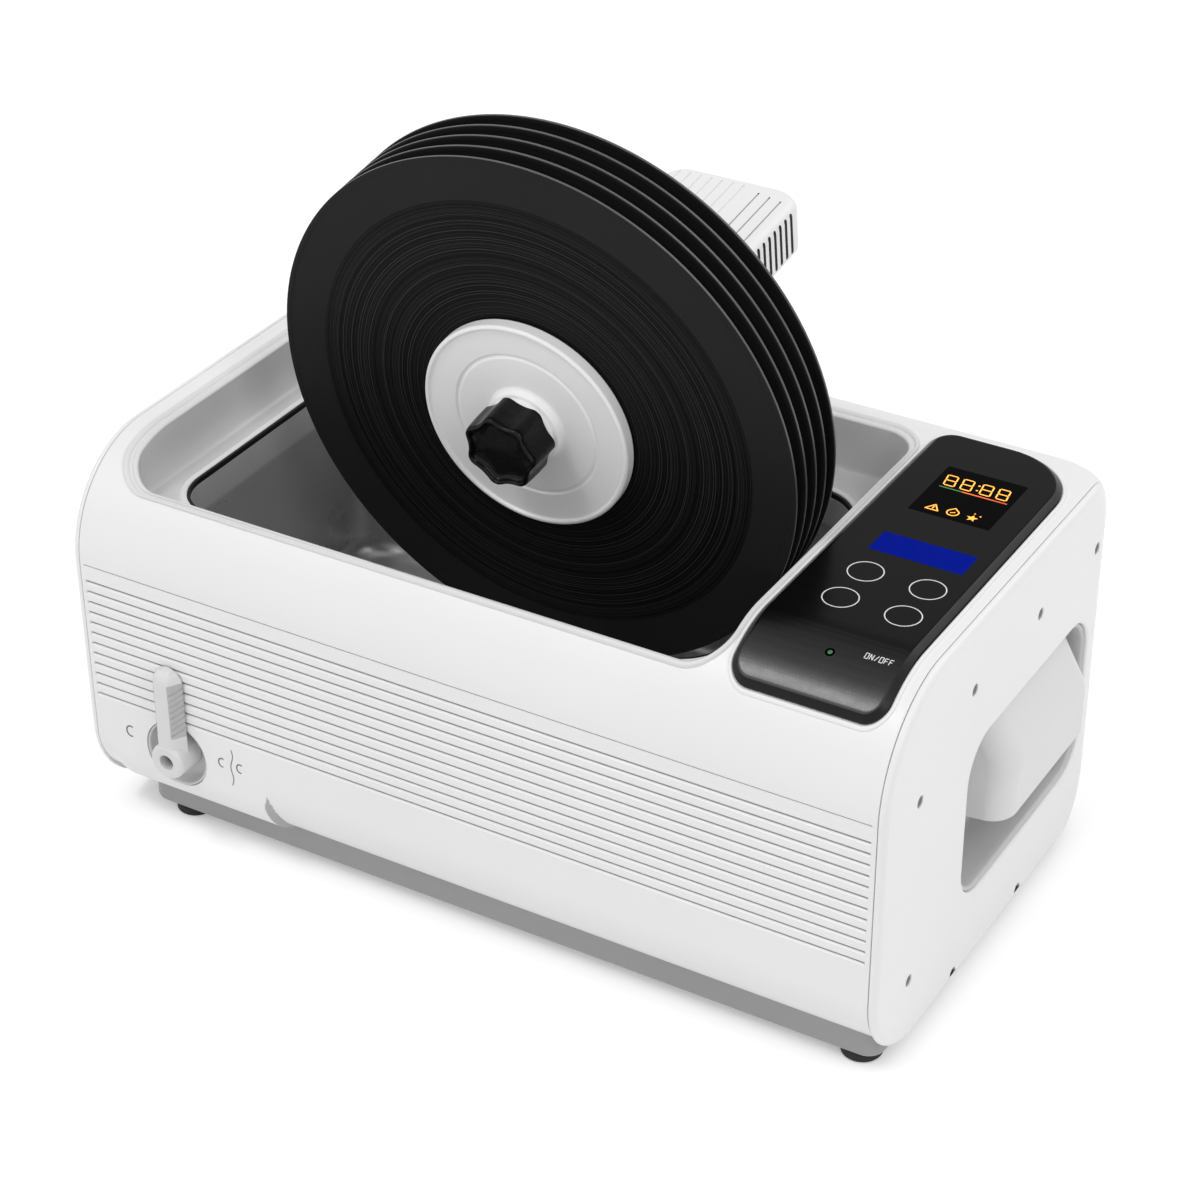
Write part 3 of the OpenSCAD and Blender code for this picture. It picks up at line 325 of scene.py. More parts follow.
def tank_metal_with_painted_shade(name):
    """Drawn steel: brushed along X, with painted shade darker towards the floor of the tank and a painted lighter band
    below the rim.
    """
    m = Mat(name)
    lines = m.noise(40, 6, 0.7, (1, 1, 50))
    sep = m.node("ShaderNodeSeparateXYZ")
    m.link(m.coord(), sep.inputs["Vector"])
    # painted shade and light: dark low in the tank, a light band near the top
    depth_shade = m.ramp(m.span(sep.outputs["Z"], 0.0, 1.0, 0.100, 0.1935),
                  [(0.0, G(176)), (0.80, G(186)), (0.83, G(222)), (1.0, G(232))])
    mix = m.node("ShaderNodeMix", data_type="RGBA", blend_type="MULTIPLY")
    mix.inputs["Factor"].default_value = 1.0
    m.link(depth_shade, mix.inputs["A"])
    m.link(m.ramp(lines, [(0.3, (0.86, 0.86, 0.87)), (0.7, (1, 1, 1))]), mix.inputs["B"])
    m.colour(mix.outputs["Result"])
    m.rough(m.span(m.noise(18, 4), 0.24, 0.42))
    m.bump([(lines, 0.00006)], 0.25)
    m.b.inputs["Metallic"].default_value = 0.4
    return m.m


WHITE = plastic("satin_white", G(240), 0.36, tint=0.012)
# painted shade for the bottoms of the grooves and the boss's end wall
GROOVE_SHADE = plastic("groove_shade", G(176), 0.6, tint=0.02)
# painted shade on the drain lever's sides
LEVER_SIDE_SHADE = plastic("lever_side_painted_shade", G(184), 0.45, tint=0.03)
# painted shade: the valve's recessed white dish made grey
DISH_SHADE = plastic("dish_painted_shade", G(214), 0.4, tint=0.015)
CAP_WHITE = plastic("cap_white", G(240), 0.36, tint=0.012)
TRIM = plastic("trim_grey", G(224), 0.4, tint=0.02)
RIM = plastic("rim_white", G(244), 0.32, tint=0.01)
HOOD = plastic("handle_grey", G(226), 0.42, tint=0.02)
# a grey tray, darkened further as painted shade under the casing
BASE_SHADED = plastic("base_grey", G(160), 0.5, tint=0.03)
LEVER = plastic("lever_grey", G(222), 0.36, tint=0.015)
FOOT = rubber("foot_rubber", G(40))
GASKET = rubber("gasket_rubber", G(12), 0.55)
TANK = tank_metal_with_painted_shade("tank_steel")
SHEET = brushed("frame_steel", G(165), 0.38)
SCREW = turned("screw_steel", G(120), 0.4, metal=0.6)
ALLOY = plastic("cast_alloy", G(205), 0.4, grain=2500, grain_d=0.00012, tint=0.03)
CERAMIC = plastic("ceramic", G(215), 0.55, tint=0.04)
HEATER = rubber("heater_film", (0.35, 0.09, 0.03), 0.6)
PIPE = plastic("pipe_plastic", G(200), 0.42)
BOARD = board("circuit_board", (0.01, 0.09, 0.035))
CAPACITOR = plastic("capacitor", (0.02, 0.03, 0.09), 0.35, coat=0.3)
COPPER = wound("copper_wound", (0.55, 0.22, 0.08))
FASCIA = plastic("fascia_black", G(10), 0.22, var=0.02, tint=0.03, grain_d=0.000003, spec=0.05)
BENDS = [plastic("fascia_bend_%d" % i, G(10), 0.22 + 0.005 * i, var=0.02, tint=0.03, grain_d=0.000003,
                 spec=0.06 + 0.045 * i) for i in range(12)]
BEVEL = plastic("fascia_bevel", G(20), 0.3, tint=0.03, grain_d=0.000003, spec=0.2)
GLASS = plastic("display_glass", G(1), 0.25, var=0.03, spec=0.01, grain_d=0.000003)
LABEL = plastic("label_blue", (0.0002, 0.009, 0.29), 0.45, tint=0.04, spec=0.01)
KEYW = plastic("key_white", G(232), 0.4)
LED = glow("led_green", (0.02, 0.12, 0.045), 0.35)
AMBER = glow("amber_light", (1.0, 0.42, 0.04), 1.0)


def level_light(name):
    """The display's level line: dark green on the left, then orange to red."""
    m = Mat(name)
    sep = m.node("ShaderNodeSeparateXYZ")
    m.link(m.coord(), sep.inputs["Vector"])
    c = m.ramp(m.span(sep.outputs["X"], 0.0, 1.0, 0.1688, 0.2062),
               [(0.0, (0.01, 0.11, 0.02)), (0.33, (0.02, 0.13, 0.02)), (0.36, (0.85, 0.13, 0.01)), (1.0, (0.5, 0.05, 0.01))])
    m.colour(c)
    m.link(c, m.b.inputs["Emission Color"])
    m.b.inputs["Emission Strength"].default_value = 0.9
    m.rough(m.span(m.noise(400, 3), 0.3, 0.45))
    return m.m


LEVEL = level_light("level_light")
INLET = plastic("inlet_black", G(28), 0.45, tint=0.1)
STEEL = turned("bearing_steel", G(185), 0.25)
BRASS = turned("gear_brass", (0.55, 0.38, 0.14), 0.3)
GEARP = plastic("gear_plastic", G(228), 0.4)
SHAFT = turned("shaft_steel", G(180), 0.25)
PLATE = plastic("clamp_plastic", G(243), 0.33, tint=0.012, grain_d=0.00002)
VINYL = vinyl("record_vinyl")
SPACER = plastic("spacer_black", G(30), 0.45, tint=0.1)
KNOB = plastic("knob_black", G(6), 0.26, var=0.05, tint=0.2, spec=0.12, coat=0.12, grain_d=0.00002)
# painted shade inside the head's slits and vents
SLIT_SHADE = plastic("slit_painted_shade", G(105), 0.6)
POCKET = plastic("pocket_grey", G(200), 0.42, tint=0.02)
# painted highlight on the black records' rims
RECORD_EDGE_HIGHLIGHT = plastic("record_edge", G(78), 0.35)
# painted shade on the raised marks by the valve
MARK_SHADE = plastic("mark_painted_shade", G(105), 0.5)


# ---------------------------------------------------------------- mesh helpers
def place(name, me, mats, body, nodes=(), matrix=None, angle=38, weighted=True):
    ob = bpy.data.objects.new(name, me)
    scene.collection.objects.link(ob)
    if matrix is not None:
        ob.matrix_world = matrix
    for m in (mats if isinstance(mats, (list, tuple)) else [mats]):
        me.materials.append(m)
    me.shade_smooth()
    me.set_sharp_from_angle(angle=math.radians(angle))
    if weighted:
        w = ob.modifiers.new("normals", "WEIGHTED_NORMAL")
        w.keep_sharp = True
        w.weight = 60
    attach(ob, body)
    if nodes:
        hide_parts(*nodes)
    return ob


def new_mesh(name, verts, faces, fix=True):
    me = bpy.data.meshes.new(name)
    me.from_pydata([tuple(v) for v in verts], [], faces)
    if fix:
        bm = bmesh.new()
        bm.from_mesh(me)
        bmesh.ops.remove_doubles(bm, verts=bm.verts, dist=1e-7)
        bmesh.ops.dissolve_degenerate(bm, edges=bm.edges, dist=1e-8)
        bmesh.ops.recalc_face_normals(bm, faces=bm.faces)
        bm.to_mesh(me)
        bm.free()
    return me


def loft(loops, start=True, end=True, ring=False, closed=True):
    """Verts and faces of a skin over loops of points with equal counts."""
    n = len(loops[0])
    verts = [p for lp in loops for p in lp]
    faces = []
    rows = len(loops)
    for i in range(rows if ring else rows - 1):
        a, b = i * n, ((i + 1) % rows) * n
        for j in range(n if closed else n - 1):
            k = (j + 1) % n
            faces.append((a + j, a + k, b + k, b + j))
    if not ring:
        if start:
            faces.append(tuple(range(n)))
        if end:
            faces.append(tuple((rows - 1) * n + j for j in range(n)))
    return verts, faces


def join(parts):
    verts, faces = [], []
    for v, f in parts:
        o = len(verts)
        verts += list(v)
        faces += [tuple(i + o for i in q) for q in f]
    return verts, faces


def arc(cx, cy, rx, ry, a0, a1, n):
    """Points of an arc, both ends in, angles in degrees."""
    out = []
    for i in range(n + 1):
        a = math.radians(a0 + (a1 - a0) * i / n)
        out.append((cx + rx * math.cos(a), cy + ry * math.sin(a)))
    return out


def rrect(x0, x1, y0, y1, r, n=8, sx=0, sy=0, sy_list=None):
    """A rounded rectangle from its (x1, y0) corner round, with its sides split sx and sy times.
    r holds four radii, for (x0 y0), (x1 y0), (x1 y1), (x0 y1)."""
    if not isinstance(r, (list, tuple)):
        r = [r] * 4
    r = [max(v, 0.02) for v in r]
    pts = arc(x1 - r[1], y0 + r[1], r[1], r[1], -90, 0, n)

    def side(a, b, ts):
        return [(a[0] + (b[0] - a[0]) * t, a[1] + (b[1] - a[1]) * t) for t in ts]

    ty = sy_list if sy_list else [(i + 1) / (sy + 1) for i in range(sy)]
    tx = [(i + 1) / (sx + 1) for i in range(sx)]
    corner2 = arc(x1 - r[2], y1 - r[2], r[2], r[2], 0, 90, n)
    corner3 = arc(x0 + r[3], y1 - r[3], r[3], r[3], 90, 180, n)
    corner0 = arc(x0 + r[0], y0 + r[0], r[0], r[0], 180, 270, n)
    pts += side(pts[-1], corner2[0], ty) + corner2
    pts += side(pts[-1], corner3[0], tx) + corner3
    pts += side(pts[-1], corner0[0], [1 - t for t in reversed(ty)]) + corner0
    pts += side(pts[-1], pts[0], tx)
    return pts


def revolve(profile, n=96, axis="y"):
    """A closed or open profile of (radius, along) turned about Y, in the piece's own frame."""
    loops = []
    for i in range(n):
        a = 2 * math.pi * i / n
        c, s = math.cos(a), math.sin(a)
        if axis == "y":
            loops.append([M(r * c, y, r * s) for r, y in profile])
        elif axis == "x":
            loops.append([M(y, r * c, r * s) for r, y in profile])
        else:
            loops.append([M(r * c, r * s, y) for r, y in profile])
    verts = [p for lp in loops for p in lp]
    m = len(profile)
    faces = []
    for i in range(n):
        k = (i + 1) % n
        for j in range(m - 1):
            faces.append((i * m + j, i * m + j + 1, k * m + j + 1, k * m + j))
    return verts, faces


def soften(pts, r, n=4, closed=False):
    """Rounds the corners of a profile of points."""
    out = []
    m = len(pts)
    for i, p in enumerate(pts):
        if not closed and i in (0, m - 1):
            out.append(p)
            continue
        a, b = pts[i - 1], pts[(i + 1) % m]
        la = math.hypot(a[0] - p[0], a[1] - p[1])
        lb = math.hypot(b[0] - p[0], b[1] - p[1])
        rr = r[i] if isinstance(r, (list, tuple)) else r
        k = min(rr, la * 0.45, lb * 0.45)
        if k < 1e-4:
            out.append(p)
            continue
        pa = (p[0] + (a[0] - p[0]) * k / la, p[1] + (a[1] - p[1]) * k / la)
        pb = (p[0] + (b[0] - p[0]) * k / lb, p[1] + (b[1] - p[1]) * k / lb)
        for j in range(n + 1):
            t = j / n
            out.append(tuple((1 - t) ** 2 * pa[q] + 2 * t * (1 - t) * p[q] + t * t * pb[q] for q in (0, 1)))
    return out


def from_mesh_ob(me, name="tmp"):
    ob = bpy.data.objects.new(name, me)
    scene.collection.objects.link(ob)
    return ob


def carve(me, cutters, op="DIFFERENCE"):
    """The mesh with the cutter meshes taken away. Every cutter is a closed mesh."""
    ob = from_mesh_ob(me)
    tools = []
    for c in cutters:
        t = from_mesh_ob(c)
        tools.append(t)
        b = ob.modifiers.new("cut", "BOOLEAN")
        b.operation = op
        b.solver = "EXACT"
        b.object = t
    dg = bpy.context.evaluated_depsgraph_get()
    out = bpy.data.meshes.new_from_object(ob.evaluated_get(dg))
    for o in tools + [ob]:
        bpy.data.objects.remove(o)
    return out


def bevel_where(me, test, width, segs=3):
    bm = bmesh.new()
    bm.from_mesh(me)
    bmesh.ops.remove_doubles(bm, verts=bm.verts, dist=1e-6)
    edges = [e for e in bm.edges if len(e.link_faces) == 2 and e.calc_face_angle(0) > 0.5
             and test((e.verts[0].co + e.verts[1].co) / 2, e)]
    if edges:
        bmesh.ops.bevel(bm, geom=edges, offset=width * 0.001, segments=segs, profile=0.5,
                        affect="EDGES", clamp_overlap=True)
    bm.to_mesh(me)
    bm.free()
    return me


def prism(points, z0, z1, to=None):
    """A closed prism over a plan outline; to(x, y, z) gives the place of each point."""
    to = to or P
    lo = [to(x, y, z0) for x, y in points]
    hi = [to(x, y, z1) for x, y in points]
    v, f = loft([lo, hi])
    return new_mesh("prism", v, f)


def refine(node, name, material, body, bevel=0.3, segs=2, slot=None, angle=32):
    """The node's own shape with rounded edges and a finish."""
    me = CAD[node].data.copy()
    me.materials.clear()
    bm = bmesh.new()
    bm.from_mesh(me)
    for layer in list(bm.loops.layers.uv):
        bm.loops.layers.uv.remove(layer)
    bmesh.ops.remove_doubles(bm, verts=bm.verts, dist=2e-6)
    bmesh.ops.dissolve_limit(bm, angle_limit=math.radians(1.2), verts=bm.verts, edges=bm.edges)
    for e in bm.edges:
        e.smooth = True
    bm.to_mesh(me)
    bm.free()
    me.attributes.remove(me.attributes["custom_normal"]) if "custom_normal" in me.attributes else None
    ob = bpy.data.objects.new(name, me)
    scene.collection.objects.link(ob)
    me.materials.append(material)
    me.shade_smooth()
    b = ob.modifiers.new("bevel", "BEVEL")
    b.width = bevel * 0.001
    b.segments = segs
    b.limit_method = "ANGLE"
    b.angle_limit = math.radians(angle)
    b.use_clamp_overlap = True
    b.miter_outer = "MITER_ARC"
    w = ob.modifiers.new("normals", "WEIGHTED_NORMAL")
    w.weight = 60
    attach(ob, body)
    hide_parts(node)
    return ob


# ---------------------------------------------------------------- the casing's surface
def top_at(y, n=0.0, ref=0.0):
    """The point n above the casing's top and curved front; y is its plan place at a height ref above it."""
    if y < 60:
        a = math.asin(max(-1.0, min(1.0, (60 - y) / (60.0 + ref))))
        return (60 - (60 + n) * math.sin(a), 165 + (60 + n) * math.cos(a))
    if y > 255:
        a = math.asin(min(1.0, (y - 255) / 29.0))
        return (y + n * math.sin(a), 196 + 29 * math.cos(a) + n * math.cos(a))
    return (y, 225 + n)


def rear_limit(x):
    x = abs(x)
    return 284.0 if x <= 204 else 249.5 + math.sqrt(max(0.0, 35.0 ** 2 - (x - 204) ** 2)) - 0.5


def tuck(x, y):
    """Draws a point's depth in at the rounded rear corners."""
    if y <= 215:
        return y
    return 215 + (y - 215) * (rear_limit(x) - 215) / (284.0 - 215)


GROOVES = [83 + 6.48 * i for i in range(12)]
SEAM = 83 + 12.5 * 6.48


def boss_share(x, u):
    """How far the lower front stands out round the drain valve; u runs from 0 at the top to 1 below."""
    a = smooth01((x + 232.0) / 16.0)
    lo = -125.4 + 9 * u
    hi = lo + 0.7 + 3.4 * u * (1.4 - u)
    return a * (1.0 - max(0.0, min(1.0, (x - lo) / (hi - lo))))


def low_run(x, inset, n=36):
    """The lower front corner: a radius of 40, and a fuller one of 24 in the boss."""
    out = []
    for i in range(n + 1):
        t = i / n
        ends = []
        for r, cz, a0 in ((40.0, 58.0, 239.5), (24.0, 47.1, 259.68)):
            a = math.radians(a0 + (180 - a0) * t)
            ends.append((r + (r - inset) * math.cos(a), cz + (r - inset) * math.sin(a)))
        u = (58 - (ends[0][1] + ends[1][1]) / 2) / 35.0
        w = boss_share(x, max(0.0, min(1.0, u)))
        out.append(tuple(p * (1 - w) + q * w for p, q in zip(*ends)))
    return out


def shell_line(x, inset, grooved):
    """The casing's section in three runs: front panel, top cover and rear panel."""
    g = 1.0 if grooved else 0.0
    front = low_run(x, inset)
    for z in GROOVES:
        for dz, d in ((-1.7, 0.0), (-1.3, 0.3), (-0.85, 1.05), (-0.4, 1.6), (0.45, 1.75), (0.66, 1.5), (0.74, 0.25),
                      (0.9, 0.0)):
            front.append((inset + d * g, z + dz))
    for dz, d in ((-0.8, 0.0), (-0.45, 0.15), (-0.25, 0.6), (-0.06, 1.4)):
        front.append((inset + d * g, SEAM + dz))
    top = [(inset + d * g, SEAM + dz) for dz, d in ((0.06, 1.4), (0.25, 0.6), (0.45, 0.15), (0.8, 0.0))]
    top += arc(60, 165, 60 - inset, 60 - inset, 180, 90, 40)[1:]
    top += [(60 + 39 * i, 225 - inset) for i in range(1, 5)]
    top += arc(255, 196, 29 - inset, 29 - inset, 90, 0, 16)
    top += [(284 - inset, 180), (284 - inset, 164.6), (283.8 - inset, 164.3), (283.3 - inset, 164.06)]
    rear = [(283.3 - inset, 163.94), (283.8 - inset, 163.7), (284 - inset, 163.4), (284 - inset, 120), (284 - inset, 80)]
    b = -math.degrees(math.acos((264.3 - 244) / 40.0))
    rear += arc(244, 58, 40 - inset, 40 - inset, 0, b, 14)
    return front, top, rear


def smooth01(t):
    t = max(0.0, min(1.0, t))
    return t * t * (3 - 2 * t)


def disc(x, z, r, y0, y1, n=64):
    """A closed disc about Y, as a cutter."""
    a = [P(x + r * math.cos(2 * math.pi * i / n), y0, z + r * math.sin(2 * math.pi * i / n)) for i in range(n)]
    b = [P(x + r * math.cos(2 * math.pi * i / n), y1, z + r * math.sin(2 * math.pi * i / n)) for i in range(n)]
    return new_mesh("disc", *loft([a, b]))


def skin_mesh(part, xs):
    loops = []
    for x, ins, g in xs:
        outer = shell_line(x, ins, g)[part]
        inner = shell_line(x, 3.0, 0)[part]
        line = outer + list(reversed(inner))
        loops.append([P(x, tuck(x, y), z) for y, z in line])
    v, f = loft(loops, start=False, end=False)
    n, h = len(loops[0]), len(loops[0]) // 2
    for row in (0, len(loops) - 1):
        o = row * n
        for j in range(h - 1):
            f.append((o + j, o + j + 1, o + n - 2 - j, o + n - 1 - j))
    return new_mesh("skin", v, f)


def paint_groove_and_boss_shade(me):
    """Paints shade: the bottoms of the grooves and the steep end wall of the boss get a darker grey as painted shade.
    """
    lo, hi = P(-231.5, 0.95, 80), P(231.5, 2.2, 166)
    for p in me.polygons:
        c = p.center
        # the boss's steep end wall, painted as shade
        step = p.normal.x > 0.24 and -0.13 < c.x < -0.1 and c.z < 0.057 and c.y < lo.y + 0.03
        if step or all(lo[i] < c[i] < hi[i] for i in range(3)):
            p.material_index = 1


def build_shell():
    ends = [(233.9, 0.5, 0), (233.75, 0.2, 0), (233.4, 0.03, 0), (232.8, 0, 0), (231.3, 0, 0), (231.1, 0, 1)]
    mids = [-229, -227, -225, -223, -221, -219, -217, -215, -212, -208, -204]
    mids += [-126 + 0.45 * i for i in range(44)]
    mids += [-60, 0, 60, 120, 170, 204, 208, 212, 216, 220, 223, 226, 229]
    xs = [(-x, i, g) for x, i, g in ends] + [(x, 0, 1) for x in mids] + list(reversed(ends))
    vx, vz = -180.0, 60.0
    front = carve(skin_mesh(0, xs), [disc(vx, vz, 20, -3, 4.5, 96)])
    c = P(vx, 0, vz)
    bevel_where(front, lambda p, e: p.y < c.y + 0.0005 and abs(math.hypot(p.x - c.x, p.z - c.z) - 0.020) < 0.0002,
                1.1, 4)
    place("front_panel_skin", front, [WHITE, GROOVE_SHADE], "casing", ["front_panel"], angle=32)
    # groove bottoms and the boss's end wall take the darker grey as painted shade
    paint_groove_and_boss_shade(front)
    hole = prism(rrect(-222.2, 139.2, 16.8, 251.2, 21, 10), 185, 240)
    top = carve(skin_mesh(1, xs), [hole] + [disc(-19 + s * 30, 175, 2.05, 278, 288, 24) for s in (-1, 1)])
    place("top_cover_skin", top, [WHITE, GROOVE_SHADE], "casing", ["top_cover"], angle=32)
    paint_groove_and_boss_shade(top)
    inlet = prism(rrect(145.5, 193.5, 62.5, 89.5, 2, 3), 0, 10, to=lambda x, z, y: P(x, 278 + y, z))
    rear = carve(skin_mesh(2, xs), [disc(169.5, 128, 28.5, 278, 288), inlet]
                 + [disc(-19 + s * 30, 65, 2.05, 278, 288, 24) for s in (-1, 1)])
    place("rear_panel_skin", rear, WHITE, "casing", ["rear_panel"], angle=32)


# ---------------------------------------------------------------- end caps
def cap_line(inset, low=0.0):
    pts = []
    r = [50 - inset, 32 - inset, 29 - inset, 60 - inset]
    z0 = 9 + inset
    pts += arc(50, 59, r[0], r[0], 270, 180, 16)
    pts += [(inset, 59 + 106 * i / 6) for i in range(1, 6)]
    pts += arc(60, 165, r[3], r[3], 180, 90, 32)
    pts += [(60 + 39 * i, 225 - inset) for i in range(1, 5)]
    pts += arc(255, 196, r[2], r[2], 90, 0, 16)
    pts += [(284 - inset, 196 - 155 * i / 7) for i in range(1, 7)]
    pts += arc(252, 41, r[1], r[1], 0, -90, 14)
    pts += [(252 - 202 * i / 6, z0) for i in range(1, 6)]
    return pts


SCREWS = [(38, 157), (38, 48.6), (96, 187), (175, 187), (248, 187), (94, 14), (175, 14)]


def flat_fill(outer, holes, to):
    """A flat face with holes, as triangles. outer and holes are lists of 2D points."""
    bm = bmesh.new()
    for lp in [outer] + holes:
        vs = [bm.verts.new(to(a, b)) for a, b in lp]
        for i in range(len(vs)):
            bm.edges.new((vs[i], vs[(i + 1) % len(vs)]))
    bmesh.ops.triangle_fill(bm, use_beauty=True, use_dissolve=False, edges=bm.edges)
    bm.verts.index_update()
    v = [p.co.copy() for p in bm.verts]
    f = [tuple(q.index for q in t.verts) for t in bm.faces]
    bm.free()
    return v, f


def window_line(out, n=14):
    return rrect(96.5 - out, 246.5 + out, 53 - out, 151 + out, 23 + out, n)


def build_cap(side):
    def to(x, y, z):
        return P(side * x, y, z)

    rim = [(234.25, 0.55), (234.4, 0.2), (234.75, 0.02), (235.2, 0.0), (235.9, 0.08), (236.6, 0.42), (237.2, 0.95),
           (237.7, 1.65), (238.1, 2.5), (238.38, 3.4), (238.5, 4.6)]
    loops = []
    back = [(234.25, 3.2), (234.25, 0.55)]
    for x, ins in [(236.2, 5.2)] + back[:1] + rim:
        loops.append([to(x, tuck(x, y), z) for y, z in cap_line(ins)])
    flat = [(tuck(238.5, y), z) for y, z in cap_line(4.6)]
    holes = [window_line(1.6)]
    for y, z in SCREWS:
        holes.append(arc(y, z, 3.65, 3.65, 0, 360, 32)[:-1])
    parts = [loft(loops, start=False, end=False),
             flat_fill(flat, holes, lambda a, b: to(238.5, a, b))]
    wl = [(238.5, 1.6), (238.42, 1.0), (238.2, 0.5), (237.8, 0.15), (237.2, 0.0), (234.0, 0.0), (230.0, 0.0)]
    parts.append(loft([[to(x, a, b) for a, b in window_line(o)] for x, o in wl], start=False, end=False))
    for y, z in SCREWS:
        sl = [(238.5, 3.65), (238.42, 3.42), (238.2, 3.3), (237.8, 3.25), (236.2, 3.25), (236.2, 1.5)]
        parts.append(loft([[to(x, a, b) for a, b in arc(y, z, r, r, 0, 360, 32)[:-1]] for x, r in sl],
                          start=False, end=False))
    v, f = join(parts)
    name = "right" if side > 0 else "left"
    place("%s_cap_skin" % name, new_mesh("cap", v, f), CAP_WHITE, "casing",
          ["%s_end_cap" % name], angle=50)


def hood_x(z):
    if z <= 114:
        return 247.5
    if z <= 120:
        return 247.5 - 0.56 * (z - 114) ** 2 / 12.0
    return 247.5 - 0.56 * (z - 117)


def build_handle(side):
    name = "right" if side > 0 else "left"

    def to(x, y, z):
        return P(side * x, y, z)

    wl = [(212.0, -12.0), (211.2, -7.2), (211.5, -5.0), (212.6, -3.9), (215.0, -3.45), (232.0, -3.2), (235.4, -2.9),
          (236.4, -2.2), (236.9, -1.3), (236.8, -0.7), (236.2, -0.3), (230.0, -0.3), (208.0, -0.3), (208.0, -9.0)]
    v, f = loft([[to(x, a, b) for a, b in window_line(o)] for x, o in wl])
    place("%s_handle_pocket" % name, new_mesh("pocket", v, f), POCKET, "casing", angle=40)

    def plan(z, grow=0.0):
        """The hood's plan outline at a height: a square front end and a softer rear end."""
        up = smooth01((z - 104) / 20.0)
        edge = math.sqrt(max(0.0, 22.7 ** 2 - max(0.0, z - 128) ** 2))
        ya = max(126.5 + 7 * up, 119.5 - edge) - grow
        yb = min(236.5, 223.5 + edge) + grow
        x1 = hood_x(z) + grow
        rf, rb = 14 + 2 * up, 14.0
        pts = arc(x1 - rf, ya + rf, rf, rf, -90, 0, 20) + arc(x1 - rb, yb - rb, rb, rb, 0, 90, 16)
        return pts + [(209.0, yb + 1), (209.0, ya - 3.5)]

    rows = [(88.0, -1.6), (88.1, -1.0), (88.4, -0.45), (88.9, -0.1), (89.6, 0.0), (94, 0.0), (100, 0.0), (104, 0.0)]
    rows += [(104 + 1.25 * i, 0.0) for i in range(1, 17)]
    rows += [(128, 0), (132, 0), (136, 0), (140, 0), (144, 0), (147, 0), (149.2, 0), (150.3, -0.4), (150.7, -1.0)]
    loops = [[to(x, y, z) for x, y in plan(z, g)] for z, g in rows]
    v, f = loft(loops)
    me = new_mesh("hood", v, f)
    hollow = prism(rrect(211, 243.6, 130, 231.5, [2, 12, 10, 2], 8), 80, 112, to=to)
    me = carve(me, [hollow])
    place("%s_handle_hood" % name, me, HOOD, "casing", ["%s_handle" % name], angle=45)


def build_cap_screws():
    parts = []
    for side in (-1, 1):
        for y, z in SCREWS:
            prof = [(0.0, 236.9), (0.9, 236.9), (1.5, 237.5), (2.1, 237.95), (2.7, 238.0), (3.1, 237.75), (3.24, 237.2),
                    (3.24, 236.0), (1.5, 235.6), (1.5, 225.0), (0.0, 225.0)]
            n = 24
            loops = []
            for i in range(n):
                a = 2 * math.pi * i / n
                cross = min(abs(math.sin(a)), abs(math.cos(a)))
                loop = []
                for k, (r, x) in enumerate(prof):
                    xx = x - (0.55 if (k in (2,) and cross < 0.3) else 0.0)
                    loop.append(P(side * xx, y + r * math.cos(a), z + r * math.sin(a)))
                loops.append(loop)
            m = len(prof)
            verts = [p for lp in loops for p in lp]
            faces = []
            for i in range(n):
                k = (i + 1) % n
                for j in range(m - 1):
                    faces.append((i * m + j, i * m + j + 1, k * m + j + 1, k * m + j))
            parts.append((verts, faces))
    place("cap_screw_heads", new_mesh("screws", *join(parts)), SCREW, "casing", ["end_cap_screws"])


# ---------------------------------------------------------------- tank and its surround
def side_ts(y0, y1, r0, r1, fine_to=60.0):
    """Splits of a side along Y: close together over the curved front, wide apart behind it."""
    a, b = y0 + r0, y1 - r1
    ts, y = [], a
    while y < b - 1.2:
        y += 1.6 if y < fine_to else 12.0
        if y < b - 0.8:
            ts.append((y - a) / (b - a))
    return ts


LIP_TS = side_ts(15, 253, 23, 23)


def ring_line(x0, x1, y0, y1, r, n=14):
    return rrect(x0, x1, y0, y1, r, n, sx=10, sy_list=LIP_TS)


def mix(a, b, u):
    return [(p[0] * (1 - u) + q[0] * u, p[1] * (1 - u) + q[1] * u) for p, q in zip(a, b)]


def tank_line(out):
    return ring_line(-198 - out, 122 + out, 34 - out, 217 + out, 28 + out)


